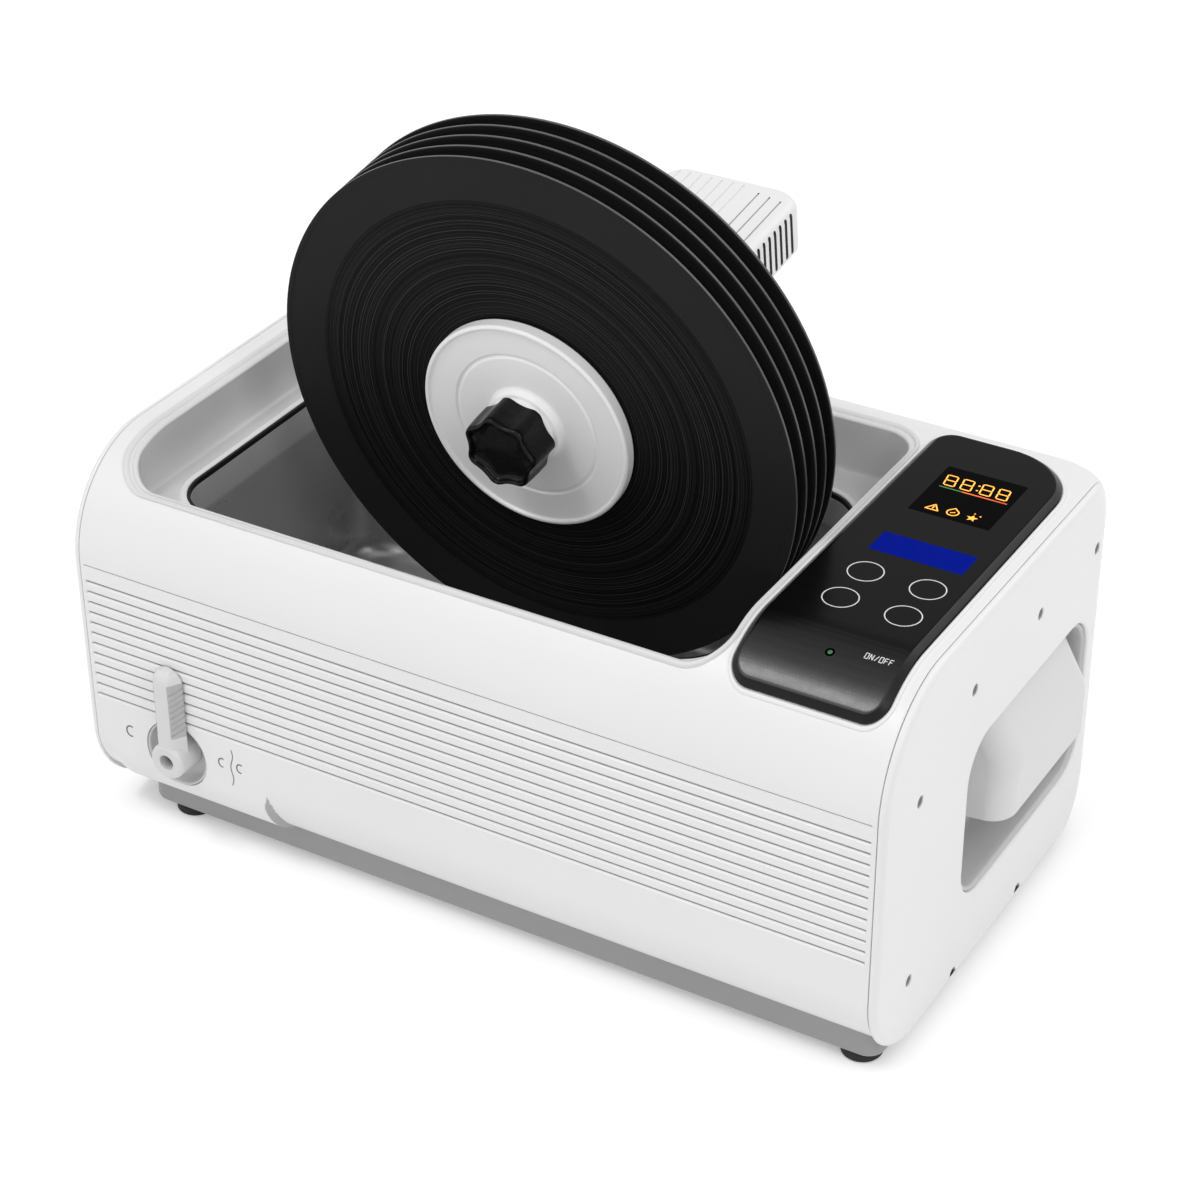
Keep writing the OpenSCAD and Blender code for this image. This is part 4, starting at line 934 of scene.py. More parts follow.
def build_surround():
    outer = ring_line(-224, 141, 15, 253, 23)
    inner = ring_line(-214, 138, 18, 243, 20)
    loops = []

    wide = [math.hypot(a[0] - b[0], a[1] - b[1]) for a, b in zip(outer, inner)]

    def on_top(line, n, u=None):
        """The line n above the casing; where the lip is slim, its double bead becomes a single one."""
        out = []
        for (x, y), w in zip(line, wide):
            m = n
            if u is not None:
                k = smooth01((w - 3.6) / 3.0)
                m = n * k + 1.5 * max(0.03, 1 - abs(2 * u - 1) ** 3.2) * (1 - k)
            yy, zz = top_at(y, m, 1.5)
            out.append(P(x, yy, zz))
        return out

    bead = [(0.0, 0.03), (0.0, 0.5), (0.02, 0.95), (0.07, 1.3), (0.14, 1.48), (0.24, 1.5), (0.33, 1.42), (0.39, 1.15),
            (0.42, 0.8), (0.44, 0.55), (0.5, 0.5), (0.6, 0.5), (0.64, 0.62), (0.67, 0.95), (0.72, 1.28), (0.79, 1.44),
            (0.87, 1.42), (0.94, 1.2), (0.98, 0.8), (1.0, 0.2)]
    for u, n in bead:
        loops.append(on_top(mix(outer, inner, u), n, u))
    for k in range(1, 5):
        t = k / 5.0
        row = []
        for x, y in inner:
            yy, zz = top_at(y, 0.2)
            zz = zz * (1 - t) + 199.0 * t
            row.append(P(x, yy * (1 - t) + y * t, zz))
        loops.append(row)

    def opening(out, z):
        line = ring_line(-214 - out, 138 + out, 18 - out, 243 + out, 20 + out)
        return [P(x, y, z) for x, y in line]

    def tank(out, z):
        return [P(x, y, z) for x, y in tank_line(out)]

    loops += [opening(0, 199.0), opening(-0.1, 197.4), opening(-0.5, 196.2), opening(-1.3, 195.35), opening(-2.4, 195.05)]
    loops += [tank(10.4, 195.0), tank(6.0, 195.0), tank(5.6, 195.12), tank(5.45, 195.5), tank(5.25, 196.0), tank(4.85, 196.36),
              tank(4.3, 196.5), tank(2.9, 196.5), tank(2.2, 196.38), tank(1.8, 196.1), tank(1.65, 195.6), tank(1.62, 193.2),
              tank(8.0, 193.1)]
    loops += [opening(2.3, 193.1)]
    under = []
    for x, y in ring_line(-214 - 2.3, 138 + 2.3, 18 - 2.3, 243 + 2.3, 22.3):
        yy, zz = top_at(max(y, 16.2), -2.4)
        under.append(P(x, y, min(zz, 222.6)))
    loops.append(under)
    base = mix(outer, inner, 0.0)
    shrink = ring_line(-221.6, 138.9, 17.3, 250.7, 20.7)
    loops.append(on_top(shrink, -2.3))
    loops.append(on_top(shrink, -0.1))
    loops.append(on_top(shrink, 0.03))
    v, f = loft(loops, ring=True)
    me = new_mesh("surround", v, f)
    ob = place("surround_ring", me, [TRIM, RIM], "casing", ["tank_surround"], angle=42)
    lo, hi = P(-203.7, 28.3, 195.03), P(127.7, 222.7, 196.8)
    for p in me.polygons:
        if all(lo[i] < p.center[i] < hi[i] for i in range(3)):
            p.material_index = 1


def build_tank():
    def row(out, z):
        return [P(x, y, z) for x, y in tank_line(out)]

    loops = [row(8, 192.9), row(0.5, 192.9), row(0.12, 192.7), row(0.0, 192.3), row(-0.1, 182.0), row(-0.3, 172.0),
             row(-0.5, 162.0), row(-0.7, 150), row(-0.7, 120), row(-0.7, 88)]
    for k in range(1, 9):
        a = math.radians(90.0 * k / 8)
        loops.append(row(-0.7 - 12 * (1 - math.cos(a)), 88 - 12.9 * math.sin(a)))
    loops.append(row(-20, 75.1))
    base = [row(-20, 73.6), row(-3, 73.6)]
    for k in range(1, 7):
        a = math.radians(90.0 * k / 6)
        base.append(row(-3 + 4.4 * math.sin(a), 73.6 + 12 * (1 - math.cos(a))))
    base += [row(1.4, 191.4), row(8, 191.4)]
    v, f = loft(loops + base, ring=True, start=False, end=False)
    n = len(loops[0])
    k = len(loops) - 1
    f.append(tuple(k * n + j for j in range(n)))
    f.append(tuple((k + 1) * n + j for j in range(n)))
    me = new_mesh("tank", v, f)
    drain = new_mesh("drain", *loft([[P(-180 + 6 * math.cos(a), 60 + 6 * math.sin(a), z)
                                      for a in [2 * math.pi * i / 40 for i in range(40)]] for z in (70, 80)]))
    me = carve(me, [drain])
    place("tank_basin", me, TANK, "casing", ["tank"], angle=40)
    ring = [(6.1, 75.0), (6.1, 75.7), (6.5, 76.1), (9.0, 76.1), (9.7, 75.7), (10.0, 75.1)]
    v, f = revolve([(r, z) for r, z in ring], 48, "z")
    m = Matrix.Translation(P(-180, 60, 0))
    place("drain_ring", new_mesh("ring", v, f), SCREW, "casing", matrix=m)


# ---------------------------------------------------------------- control fascia
FX0, FX1, FY0, FY1 = 143.5, 226.0, 13.6, 255.0
F_TS = side_ts(FY0, FY1, 12, 26)


def fascia_line(inset, n=14):
    r = [12 - inset, 11 - inset, 40 - inset, 13 - inset]
    return rrect(FX0 + inset, FX1 - inset, FY0 + inset, FY1 - inset, r, n, sx=8, sy_list=F_TS)


def plan_fill(line, to, step=1.6, y_end=60.0):
    """Fills a plan outline with strips across X, so that it can follow the curved front."""
    bm = bmesh.new()
    vs = [bm.verts.new((x, y, 0)) for x, y in line]
    bm.faces.new(vs)
    y = min(p[1] for p in line) + 0.8
    top = max(p[1] for p in line)
    while y < top - 0.5:
        geom = bm.verts[:] + bm.edges[:] + bm.faces[:]
        bmesh.ops.bisect_plane(bm, geom=geom, plane_co=(0, y, 0), plane_no=(0, 1, 0), dist=1e-5)
        y += step if y < y_end else 14.0
    bm.verts.index_update()
    v = [to(p.co.x, p.co.y) for p in bm.verts]
    f = [tuple(q.index for q in t.verts) for t in bm.faces]
    bm.free()
    return v, f


def at_top(n):
    def to(x, y):
        yy, zz = top_at(y, n, 4.0)
        return P(x, yy, zz)
    return to


def build_fascia():
    rows = [(0.0, 0.03), (0.0, 0.9), (0.12, 1.35), (0.45, 1.75), (2.6, 3.45), (3.1, 3.78), (3.7, 3.95), (4.4, 4.0)]
    loops = []
    for ins, n in rows:
        to = at_top(n)
        loops.append([to(x, y) for x, y in fascia_line(ins)])
    parts = [loft([loops[0]] + loops, start=False, end=False), plan_fill(fascia_line(4.4), at_top(4.0))]
    v, f = join(parts)
    me = new_mesh("fascia", v, f)
    ob = place("fascia_plate", me, [FASCIA, BEVEL] + BENDS, "casing", ["control_fascia"], angle=24)
    n_side = 7 * len(loops[0])
    for p in me.polygons:
        nrm = p.normal
        cy = p.center.y
        if p.center.z > 0.14:
            y_c = p.center.y * 1000 + OY
            a = math.asin(max(0.0, min(1.0, (60 - y_c) / 62.0))) if y_c < 60 else 0.0
            up = Vector((0, -math.sin(a), math.cos(a)))
            if 0.35 < nrm.dot(up) < 0.93:
                p.material_index = 1
            elif a > math.radians(5):
                p.material_index = 2 + min(len(BENDS) - 1, int((math.degrees(a) - 5) / 2.5))
    # the soft raised border that the fascia sits in
    out = [(-2.35, 0.02), (-2.3, 0.5), (-1.95, 0.85), (-1.4, 1.0), (-0.8, 0.92), (-0.4, 0.6), (-0.25, 0.02)]
    loops = []
    for ins, n in out:
        to = at_top(n)
        loops.append([to(x, y) for x, y in fascia_line(ins)])
    v, f = loft(loops, ring=True)
    place("fascia_border", new_mesh("border", v, f), WHITE, "casing", angle=50)


def slab(points, z0, z1, edge=0.15):
    """A plate over a plan outline, flat, with a small rounded top edge. points(inset) gives the outline."""
    rows = [(0, z0), (0, z1 - edge), (edge * 0.3, z1 - edge * 0.35), (edge, z1)]
    loops = [[P(x, y, z) for x, y in points(i)] for i, z in rows]
    return loft(loops)


STROKES = {"O": ((0, 0, 1, 0), (1, 0, 1, 1), (1, 1, 0, 1), (0, 1, 0, 0)), "N": ((0, 0, 0, 1), (0, 1, 1, 0), (1, 0, 1, 1)),
           "/": ((0.1, 0, 0.9, 1),), "F": ((0, 0, 0, 1), (0, 1, 1, 1), (0, 0.52, 0.8, 0.52))}
DIGITS = {"8": "abcdefg", "0": "abcdef", "1": "bc", "2": "abged", "3": "abgcd", "5": "afgcd", "4": "fgbc"}


def segment_shapes(x, y, w, h, t, digit, lean=-0.15):
    """Plan outlines of a seven-segment digit whose lower left corner is at x, y."""
    g = 0.16

    def hexa(x0, y0, x1, y1):
        if abs(y0 - y1) < 1e-6:
            pts = [(x0 + g, y0), (x0 + g + t / 2, y0 + t / 2), (x1 - g - t / 2, y0 + t / 2), (x1 - g, y0),
                   (x1 - g - t / 2, y0 - t / 2), (x0 + g + t / 2, y0 - t / 2)]
        else:
            pts = [(x0, y0 + g), (x0 + t / 2, y0 + g + t / 2), (x0 + t / 2, y1 - g - t / 2), (x0, y1 - g),
                   (x0 - t / 2, y1 - g - t / 2), (x0 - t / 2, y0 + g + t / 2)]
        return [(a + (b - y) * lean, b) for a, b in pts]

    m = y + h / 2
    table = {"a": (x, y + h, x + w, y + h), "b": (x + w, m, x + w, y + h), "c": (x + w, y, x + w, m),
             "d": (x, y, x + w, y), "e": (x, y, x, m), "f": (x, m, x, y + h), "g": (x, m, x + w, m)}
    return [hexa(*table[k]) for k in DIGITS[digit]]


def flat_shapes(shapes, z0, z1):
    parts = []
    for pts in shapes:
        lo = [P(x, y, z0) for x, y in pts]
        hi = [P(x, y, z1) for x, y in pts]
        parts.append(loft([lo, hi]))
    return join(parts)


def ring_shape(cx, cy, r0, r1, a0=0, a1=360, n=64):
    """A flat ring or part ring as quads in plan."""
    m = max(6, int(n * abs(a1 - a0) / 360))
    o = arc(cx, cy, r1, r1, a0, a1, m)
    i = arc(cx, cy, r0, r0, a0, a1, m)
    return [[o[k], o[k + 1], i[k + 1], i[k]] for k in range(m)]


def bar(x0, y0, x1, y1, w):
    """A straight stroke in plan."""
    dx, dy = x1 - x0, y1 - y0
    d = math.hypot(dx, dy)
    nx, ny = -dy / d * w / 2, dx / d * w / 2
    return [(x0 + nx, y0 + ny), (x1 + nx, y1 + ny), (x1 - nx, y1 - ny), (x0 - nx, y0 - ny)]


def build_display():
    zt = 229.08

    def win(i):
        return rrect(164.25 + 0.12 + i, 209.25 - 0.12 - i, 170.12 + i, 219.88 - i, 1.0, 6)

    v, f = slab(win, 226.6, zt - 0.06, 0.25)
    place("display_glass", new_mesh("glass", v, f), GLASS, "casing", ["display_window"])
    v, f = slab(lambda i: rrect(166.2 + i, 207.3 - i, 172.1 + i, 217.9 - i, 0.6, 4), zt - 0.3, zt - 0.03, 0.1)
    place("display_mask", new_mesh("mask", v, f), GLASS, "casing")
    z0, z1 = zt - 0.1, zt + 0.02
    shapes = []
    for i, d in enumerate("8888"):
        shapes += segment_shapes(169.9 + i * 9.1 + (1.6 if i > 1 else 0), 201.2, 5.7, 10.0, 0.8, d)
    for dy in (203.6, 208.4):
        shapes.append(arc(187.9 - (dy - 201) * 0.15, dy, 0.6, 0.6, 0, 360, 14)[:-1])
    v, f = flat_shapes(shapes, z0, z1)
    place("display_digits", new_mesh("digits", v, f), AMBER, "casing", weighted=False)
    v, f = flat_shapes([bar(168.8 + 3.12 * i, 198.6, 171.92 + 3.12 * i, 198.6, 0.85) for i in range(12)], z0, z1)
    place("display_bar", new_mesh("bar", v, f), LEVEL, "casing", weighted=False)
    cx, cy = 175.4, 177.6
    icons = [bar(cx - 3.6, cy - 2.4, cx + 3.6, cy - 2.4, 0.75), bar(cx - 3.5, cy - 2.5, cx, cy + 3.1, 0.75),
             bar(cx + 3.5, cy - 2.5, cx, cy + 3.1, 0.75), bar(cx, cy - 1.4, cx, cy + 1.2, 0.7)]
    cx = 186.1
    icons += ring_shape(cx, cy, 2.7, 3.4, 140, 400, 40) + [bar(cx + 2.2, cy + 2.0, cx - 0.4, cy + 4.4, 0.7),
                                                          bar(cx - 2.5, cy + 1.8, cx - 0.2, cy + 4.4, 0.7)]
    icons += [bar(cx - 1.2, cy - 0.8, cx + 1.2, cy + 0.6, 0.6)]
    cx = 196.7
    star = []
    for i in range(10):
        a, r = math.radians(90 + 36 * i), (3.1 if i % 2 == 0 else 1.4)
        star.append((cx + r * math.cos(a), cy - 0.4 + r * math.sin(a)))
    icons += [star[i:i + 2] + [(cx, cy - 0.4)] for i in range(9)] + [[star[9], star[0], (cx, cy - 0.4)]]
    icons += [arc(cx + 3.2, cy + 3.0, 0.5, 0.5, 0, 360, 10)[:-1], arc(cx - 0.3, cy + 4.2, 0.45, 0.45, 0, 360, 10)[:-1]]
    v, f = flat_shapes(icons, z0, z1)
    place("display_icons", new_mesh("icons", v, f), AMBER, "casing", weighted=False)


def build_keys():
    zt = 229.0
    kx = (173.1, 206.4)
    ky = (78.0, 105.3)
    v, f = slab(lambda i: rrect(164.35 + i, 215.15 - i, 125.6 + i, 144.4 - i, 0.8, 6), zt - 0.3, zt + 0.05, 0.1)
    place("blue_strip", new_mesh("strip", v, f), LABEL, "casing", ["label_strip"])
    parts = []
    for x in kx:
        for y in ky:
            prof = [(8.62, zt - 0.1), (8.66, zt + 0.05), (8.8, zt + 0.1), (9.1, zt + 0.1), (9.26, zt + 0.05), (9.3, zt - 0.1)]
            v, f = revolve(prof, 72, "z")
            o = P(x, y, 0)
            parts.append(([p + o for p in v], f))
    place("key_rings", new_mesh("rings", *join(parts)), KEYW, "casing", ["touch_rings"])
    # the plain words ON/OFF on the curved front, in strokes
    words = []
    for i, letter in enumerate("ON/OFF"):
        o = 204.2 + i * 2.5
        for a, b, c, d in STROKES[letter]:
            words.append(bar(o + a * 1.6, 40.4 + b * 3.2, o + c * 1.6, 40.4 + d * 3.2, 0.42))
    lo, hi = at_top(3.9), at_top(4.05)
    parts = [loft([[lo(x, y) for x, y in s], [hi(x, y) for x, y in s]]) for s in words]
    place("on_off_words", new_mesh("words", *join(parts)), KEYW, "casing", weighted=False)
    yl, zl = top_at(38.0, 4.0, 4.0)
    ang = math.asin((60 - 38.0) / 64.0)
    m = Matrix.Rotation(ang, 4, "X")
    m.translation = P(187.75, yl, zl)
    v, f = revolve([(1.2, 0.03), (2.0, 0.06), (2.4, 0.05), (2.55, -0.1), (1.2, -0.2), (1.2, 0.03)], 40, "z")
    place("led_collar", new_mesh("collar", v, f), GLASS, "casing", matrix=m)
    dome = [(1.25, -0.4), (1.25, 0.0), (1.1, 0.14), (0.8, 0.24), (0.4, 0.29), (0.0, 0.3)]
    v, f = revolve(dome, 40, "z")
    place("led_dome", new_mesh("dome", v, f), LED, "casing", ["status_led"], matrix=m)


# ---------------------------------------------------------------- records and clamps
def build_records():
    for k in range(5):
        y0 = k * PITCH
        r = DISC_R - 0.15
        half = [(3.6, 0.0), (50.4, 0.0), (50.9, 0.06), (51.6, 0.28), (52.4, 0.3), (r - 4.2, 0.3), (r - 3.6, 0.24),
                (r - 3.0, 0.1), (r - 2.2, 0.02), (r - 0.9, 0.0), (r - 0.45, 0.08), (r - 0.15, 0.3), (r, 0.7)]
        prof = half + [(a, 2.0 - b) for a, b in reversed(half)]
        prof.append(prof[0])
        v, f = revolve(prof, 200)
        me = new_mesh("record", [p + M(0, y0, 0) for p in v], f)
        ob = place("disc_%d" % (k + 1), me, [VINYL, RECORD_EDGE_HIGHLIGHT], "spindle", ["record_%d" % (k + 1)],
                   matrix=SPIN, angle=50)
        # the rim faces take a lighter grey as painted highlight
        for p in me.polygons:
            if math.hypot(p.center.x, p.center.z) > (r - 0.2) * 0.001:
                p.material_index = 1
    parts = []
    for k in range(4):
        a, b = k * PITCH + 2.02, (k + 1) * PITCH - 0.02
        prof = [(3.6, a), (48.6, a), (49.0, a + 0.3), (49.0, a + 1.4), (48.5, a + 1.8), (48.5, b - 1.8), (49.0, b - 1.4),
                (49.0, b - 0.3), (48.6, b), (3.6, b), (3.6, a)]
        parts.append(revolve(prof, 96))
    place("disc_spacers", new_mesh("spacers", *join(parts)), SPACER, "spindle", ["record_spacers"],
          matrix=SPIN, angle=50)


def clamp_profile(bore):
    """Distance from the disc's face, outwards, against radius."""
    pts = [(bore, 0.02), (58.8, 0.02), (60.0, 1.0), (60.0, 7.0), (59.0, 8.0), (57.7, 8.0), (57.0, 6.5), (42.4, 5.75),
           (41.6, 4.8), (40.6, 4.9), (39.6, 5.5), (22.6, 5.3), (21.0, 6.4), (20.6, 9.2), (18.8, 10.0),
           (18.3, 12.4), (17.0, 13.0), (bore, 13.0)]
    rad = [0, 0.4, 0.5, 0.6, 0.55, 0.5, 0.5, 0.35, 0.35, 0.4, 0.5, 1.2, 0.6, 0.6, 0.6, 0.5, 0.5, 0]
    pts = soften(pts, rad, 4)
    pts.append(pts[0])
    return pts


def build_clamps():
    prof = [(r, -y) for r, y in clamp_profile(3.6)]
    place("front_clamp", new_mesh("clamp", *revolve(prof, 144)), PLATE, "front_clamp", ["front_clamp_plate"],
          matrix=SPIN, angle=60)
    prof = [(r, STACK + y) for r, y in clamp_profile(4.01)]
    place("rear_clamp", new_mesh("clamp", *revolve(prof, 144)), PLATE, "spindle", ["rear_clamp_plate"],
          matrix=SPIN, angle=60)


def knob_radius(a):
    """The knob's outline: seven lobes with hollow sides and soft corners."""
    step = 2 * math.pi / 7
    q = (a + step / 2) % step - step / 2
    s = 34.0 * math.sin(q)
    if abs(s) < 15:
        d = 34.0 * math.cos(q) - math.sqrt(225 - s * s)
    else:
        d = 40
    k = 0.9
    return -math.log(math.exp(-21.5 / k) + math.exp(-min(d, 40) / k)) * k


def build_knob():
    n = 224
    shift = math.pi / 7
    rows = [(-13.35, 0.9), (-13.35, 1.0), (-14.2, 1.0), (-17, 1.0), (-21, 0.998), (-25, 0.992), (-28, 0.985), (-30.2, 0.978),
            (-31.6, 0.97), (-32.4, 0.955), (-32.85, 0.935), (-33.0, 0.91), (-33.0, 0.885), (-32.8, 0.865), (-32.3, 0.85),
            (-31.5, 0.84), (-30.7, 0.82), (-30.15, 0.78), (-29.85, 0.7), (-29.75, 0.55), (-29.7, 0.3), (-29.7, 0.08)]
    loops = []
    for y, s in rows:
        row = []
        for i in range(n):
            a = 2 * math.pi * i / n
            rr = knob_radius(a + shift) * s
            row.append(M(rr * math.cos(a), y, rr * math.sin(a)))
        loops.append(row)
    v, f = loft(loops)
    place("knob_grip", new_mesh("knob", v, f), KNOB, "knob", ["clamp_knob"], matrix=SPIN, angle=48)


# ---------------------------------------------------------------- motor head
HEAD = dict(w=42.0, z0=-18.0, z1=16.0)


def head_row(y, inset=0.0):
    """The head's section at a depth y: edges r 6, drawn in at the rear corners."""
    w = HEAD["w"] - inset
    back = 221.0 - inset
    r = 10.0 - inset
    if y > back - r:
        w = w - (r - math.sqrt(max(0.0, r * r - (y - (back - r)) ** 2)))
    e = 6.0 - inset
    return [M(x, y, z) for x, z in rrect(-w, w, HEAD["z0"] + inset, HEAD["z1"] - inset, e, 8)]


def build_head():
    ys = [118.02, 118.02, 119, 140, 160, 180, 200, 211, 213, 215, 217, 218.6, 219.8, 220.6, 220.95]
    loops = [head_row(y, 0.0) for y in ys[1:]]
    loops[0] = head_row(118.02, 0.25)
    loops.insert(1, head_row(118.3, 0.0))
    inner = [head_row(y, 2.6) for y in (218.2, 217.6, 216, 213, 210, 118.02)]
    v, f = loft(loops + inner, ring=True, start=False, end=False)
    n = len(loops[0])
    k = len(loops) - 1
    bad = set()
    f = [q for q in f if not (min(q) // n == k and max(q) // n == k + 1)]
    f.append(tuple(k * n + j for j in range(n)))
    f.append(tuple((k + 1) * n + j for j in range(n)))
    me = new_mesh("head", v, f)
    cuts = []

    def vent(sx, y):
        pts = []
        for a in range(-90, 91, 15):
            pts.append((y + 1.4 * math.cos(math.radians(a + 90)), 11.3 + 1.4 * math.sin(math.radians(a + 90))))
        for a in range(90, 271, 15):
            pts.append((y + 1.4 * math.cos(math.radians(a + 90)), -11.3 + 1.4 * math.sin(math.radians(a + 90))))
        lo = [M(sx * 36, p, z) for p, z in pts]
        hi = [M(sx * 46, p, z) for p, z in pts]
        return new_mesh("vent", *loft([lo, hi]))

    for sx in (-1, 1):
        for q in range(9):
            cuts.append(vent(sx, 206.2 - q * 6.28))

    def box(x0, x1, y0, y1, z0, z1):
        p = rrect(x0, x1, y0, y1, min(0.45, (x1 - x0) * 0.49), 3)
        return new_mesh("box", *loft([[M(x, y, z0) for x, y in p], [M(x, y, z1) for x, y in p]]))

    for q in range(7):
        cuts.append(box(-33 + q * 6.7 - 0.42, -33 + q * 6.7 + 0.42, 117, 218.0, 15.45, 18))
    for q in range(3):
        cuts.append(box(18.5 + q * 7.5 - 0.5, 18.5 + q * 7.5 + 0.5, 117, 214.0 - 1.6 * q, 14.7, 18))
    cuts.append(new_mesh("cable", *loft([[M(4 * math.cos(a), y, -4 + 4 * math.sin(a)) for a in
                                         [2 * math.pi * i / 32 for i in range(32)]] for y in (216, 224)])))
    me = carve(me, cuts)
    bm = bmesh.new()
    bm.from_mesh(me)
    bmesh.ops.remove_doubles(bm, verts=bm.verts, dist=1e-6)
    bm.to_mesh(me)
    bm.free()
    ob = place("head_shell", me, [WHITE, SLIT_SHADE], "arm", ["motor_housing"], matrix=SPIN, angle=34)
    # faces inside the slits and vents get painted shade
    for p in me.polygons:
        c = p.center
        slit = 0.0145 < c.z < 0.0154 and 0.017 < c.x < 0.0342 and c.y < 0.2141
        vent = 0.0393 < abs(c.x) < 0.0418 and abs(c.z) < 0.0129 and 0.1540 < c.y < 0.2080 and abs(p.normal.x) < 0.6
        if slit or vent:
            p.material_index = 1
    # front cover with its collar
    loops = [head_row(112.0, 1.2), head_row(112.08, 0.6), head_row(112.3, 0.25), head_row(112.8, 0.0), head_row(117.5, 0.0),
             head_row(117.9, 0.25)]
    v1, f1 = loft(loops)
    prof = soften([(4.6, 103.9), (11.6, 103.9), (12.5, 104.8), (12.5, 110.9), (13.6, 112.1)], [0, 0.5, 0.5, 0.9, 0], 4)
    v2, f2 = revolve(prof + [(4.6, 112.1), (4.6, 103.9)], 72)
    v, f = join([(v1, f1), (v2, f2)])
    place("head_front", new_mesh("front", v, f), WHITE, "arm", ["housing_front"], matrix=SPIN, angle=40)
    parts = []
    for sx in (-1, 1):
        for z in (-12.0, 10.0):
            prof = [(0.0, 111.95), (0.9, 111.9), (1.0, 111.55), (1.6, 111.55), (1.7, 111.8), (2.2, 111.95), (2.4, 112.3), (2.4, 112.9)]
            v, f = revolve(prof, 24)
            parts.append(([p + M(sx * 36, 0, z) for p in v], f))
    place("head_screws", new_mesh("hs", *join(parts)), SCREW, "arm", ["housing_screws"], matrix=SPIN)


# ---------------------------------------------------------------- drain valve
def build_valve():
    c = Matrix.Translation(P(-180, 0, 60))
    prof = soften([(7.6, 10.9), (7.6, 9.0), (12.0, 9.0), (16.2, 8.2), (18.0, 5.0), (18.3, 1.2), (18.9, 0.5), (19.6, 0.6),
                   (19.7, 1.4), (19.7, 10.9), (7.6, 10.9)], [0, 0.3, 1.5, 1.8, 2.0, 0.5, 0.3, 0.3, 0.3, 0, 0], 4)
    # the dish is grey as painted shade in its recess
    place("valve_dish", new_mesh("dish", *revolve(prof, 96)), DISH_SHADE, "casing", ["valve_cup"],
          matrix=c, angle=50)
    loops = []
    heights = [0, 8, 16, 24, 32, 40, 45, 48, 50, 51.5, 53, 54.2, 55.2, 56, 56.5, 56.85, 56.98]
    for z in heights:
        front = -9.2 + (7 - math.sqrt(max(0.0, 49 - max(0.0, z - 50) ** 2)))
        side = 9.5 - (9 - math.sqrt(max(0.0, 81 - max(0.0, z - 48) ** 2)))
        wf = min(4.6, side * 0.9)
        pts = soften([(-side, -1.0), (side, -1.0), (wf, front), (-wf, front)], [0.8, 0.8, 2.6, 2.6], 4, True)
        loops.append([M(x, y, z) for x, y in pts])
    body = new_mesh("lever", *loft(loops))
    cuts = []
    for s in (-1, 1):
        for i in range(8):
            m = Matrix.Translation(M(s * 4.75, -9.5, 17.4 + 3.66 * i)) @ Matrix.Rotation(-s * math.radians(30.5), 4, "Z")
            m = m @ Matrix.Rotation(math.radians(20), 4, "X") @ Matrix.Rotation(math.radians(45), 4, "Y")
            q = [(-0.75, -0.75), (0.75, -0.75), (0.75, 0.75), (-0.75, 0.75)]
            cuts.append(new_mesh("rib", *loft([[m @ M(a, y, b) for a, b in q] for y in (1.0, 14)])))
    cuts.append(new_mesh("bore", *loft([[M(x, y, z) for x, z in arc(0, 0, 8.2, 8.2, 0, 360, 48)[:-1]] for y in (-14, 12)])))
    body = carve(body, cuts)
    v1 = [p.co.copy() for p in body.vertices]
    f1 = [tuple(p.vertices) for p in body.polygons]
    prof = soften([(4.5, -9.3), (4.8, -9.5), (9.2, -9.5), (10.5, -8.0), (10.5, 7.9), (7.1, 7.9), (7.1, -3.6), (4.5, -3.6),
                   (4.5, -9.3)], [0, 0.2, 1.4, 1.4, 0, 0, 0, 0, 0], 4)
    v2, f2 = revolve(prof, 72)
    v, f = join([(v1, f1), (v2, f2)])
    me = new_mesh("lever", v, f)
    place("drain_handle", me, [LEVER, LEVER_SIDE_SHADE], "drain", ["drain_lever"], matrix=c, angle=50)
    # the lever's sides take the darker grey as painted shade
    for p in me.polygons:
        if abs(p.normal.x) > 0.3 and 0.013 < p.center.z < 0.05 and p.center.y < -0.0011 and abs(p.center.x) > 0.0042:
            p.material_index = 1


def surface_stroke(pts, w, y=-0.12, h=0.25):
    """A thin raised stroke on the flat front, along points in X and Z."""
    loops = []
    for i, (x, z) in enumerate(pts):
        a = pts[max(0, i - 1)]
        b = pts[min(len(pts) - 1, i + 1)]
        d = math.hypot(b[0] - a[0], b[1] - a[1])
        nx, nz = -(b[1] - a[1]) / d * w / 2, (b[0] - a[0]) / d * w / 2
        loops.append([P(x + nx, y + h, z + nz), P(x + nx * 0.7, y, z + nz * 0.7), P(x - nx * 0.7, y, z - nz * 0.7),
                      P(x - nx, y + h, z - nz)])
    return loft(loops)


def build_marks():
    """Plain raised marks by the valve: two arcs for open and shut and a wave for water, grey as painted shade."""
    parts = [surface_stroke(arc(-210.4, 64.6, 2.9, 3.3, 60, 290, 16), 1.1)]
    for x in (-149.3, -137.4):
        parts.append(surface_stroke(arc(x, 65.3, 2.3, 2.7, 60, 285, 14), 1.0))
    wave = [(-142.6 + 0.75 * math.sin(i * 0.42) - 0.02 * i, 75.7 - i) for i in range(24)]
    parts.append(surface_stroke(wave, 0.7))
    place("valve_marks", new_mesh("marks", *join(parts)), MARK_SHADE, "casing", weighted=False)


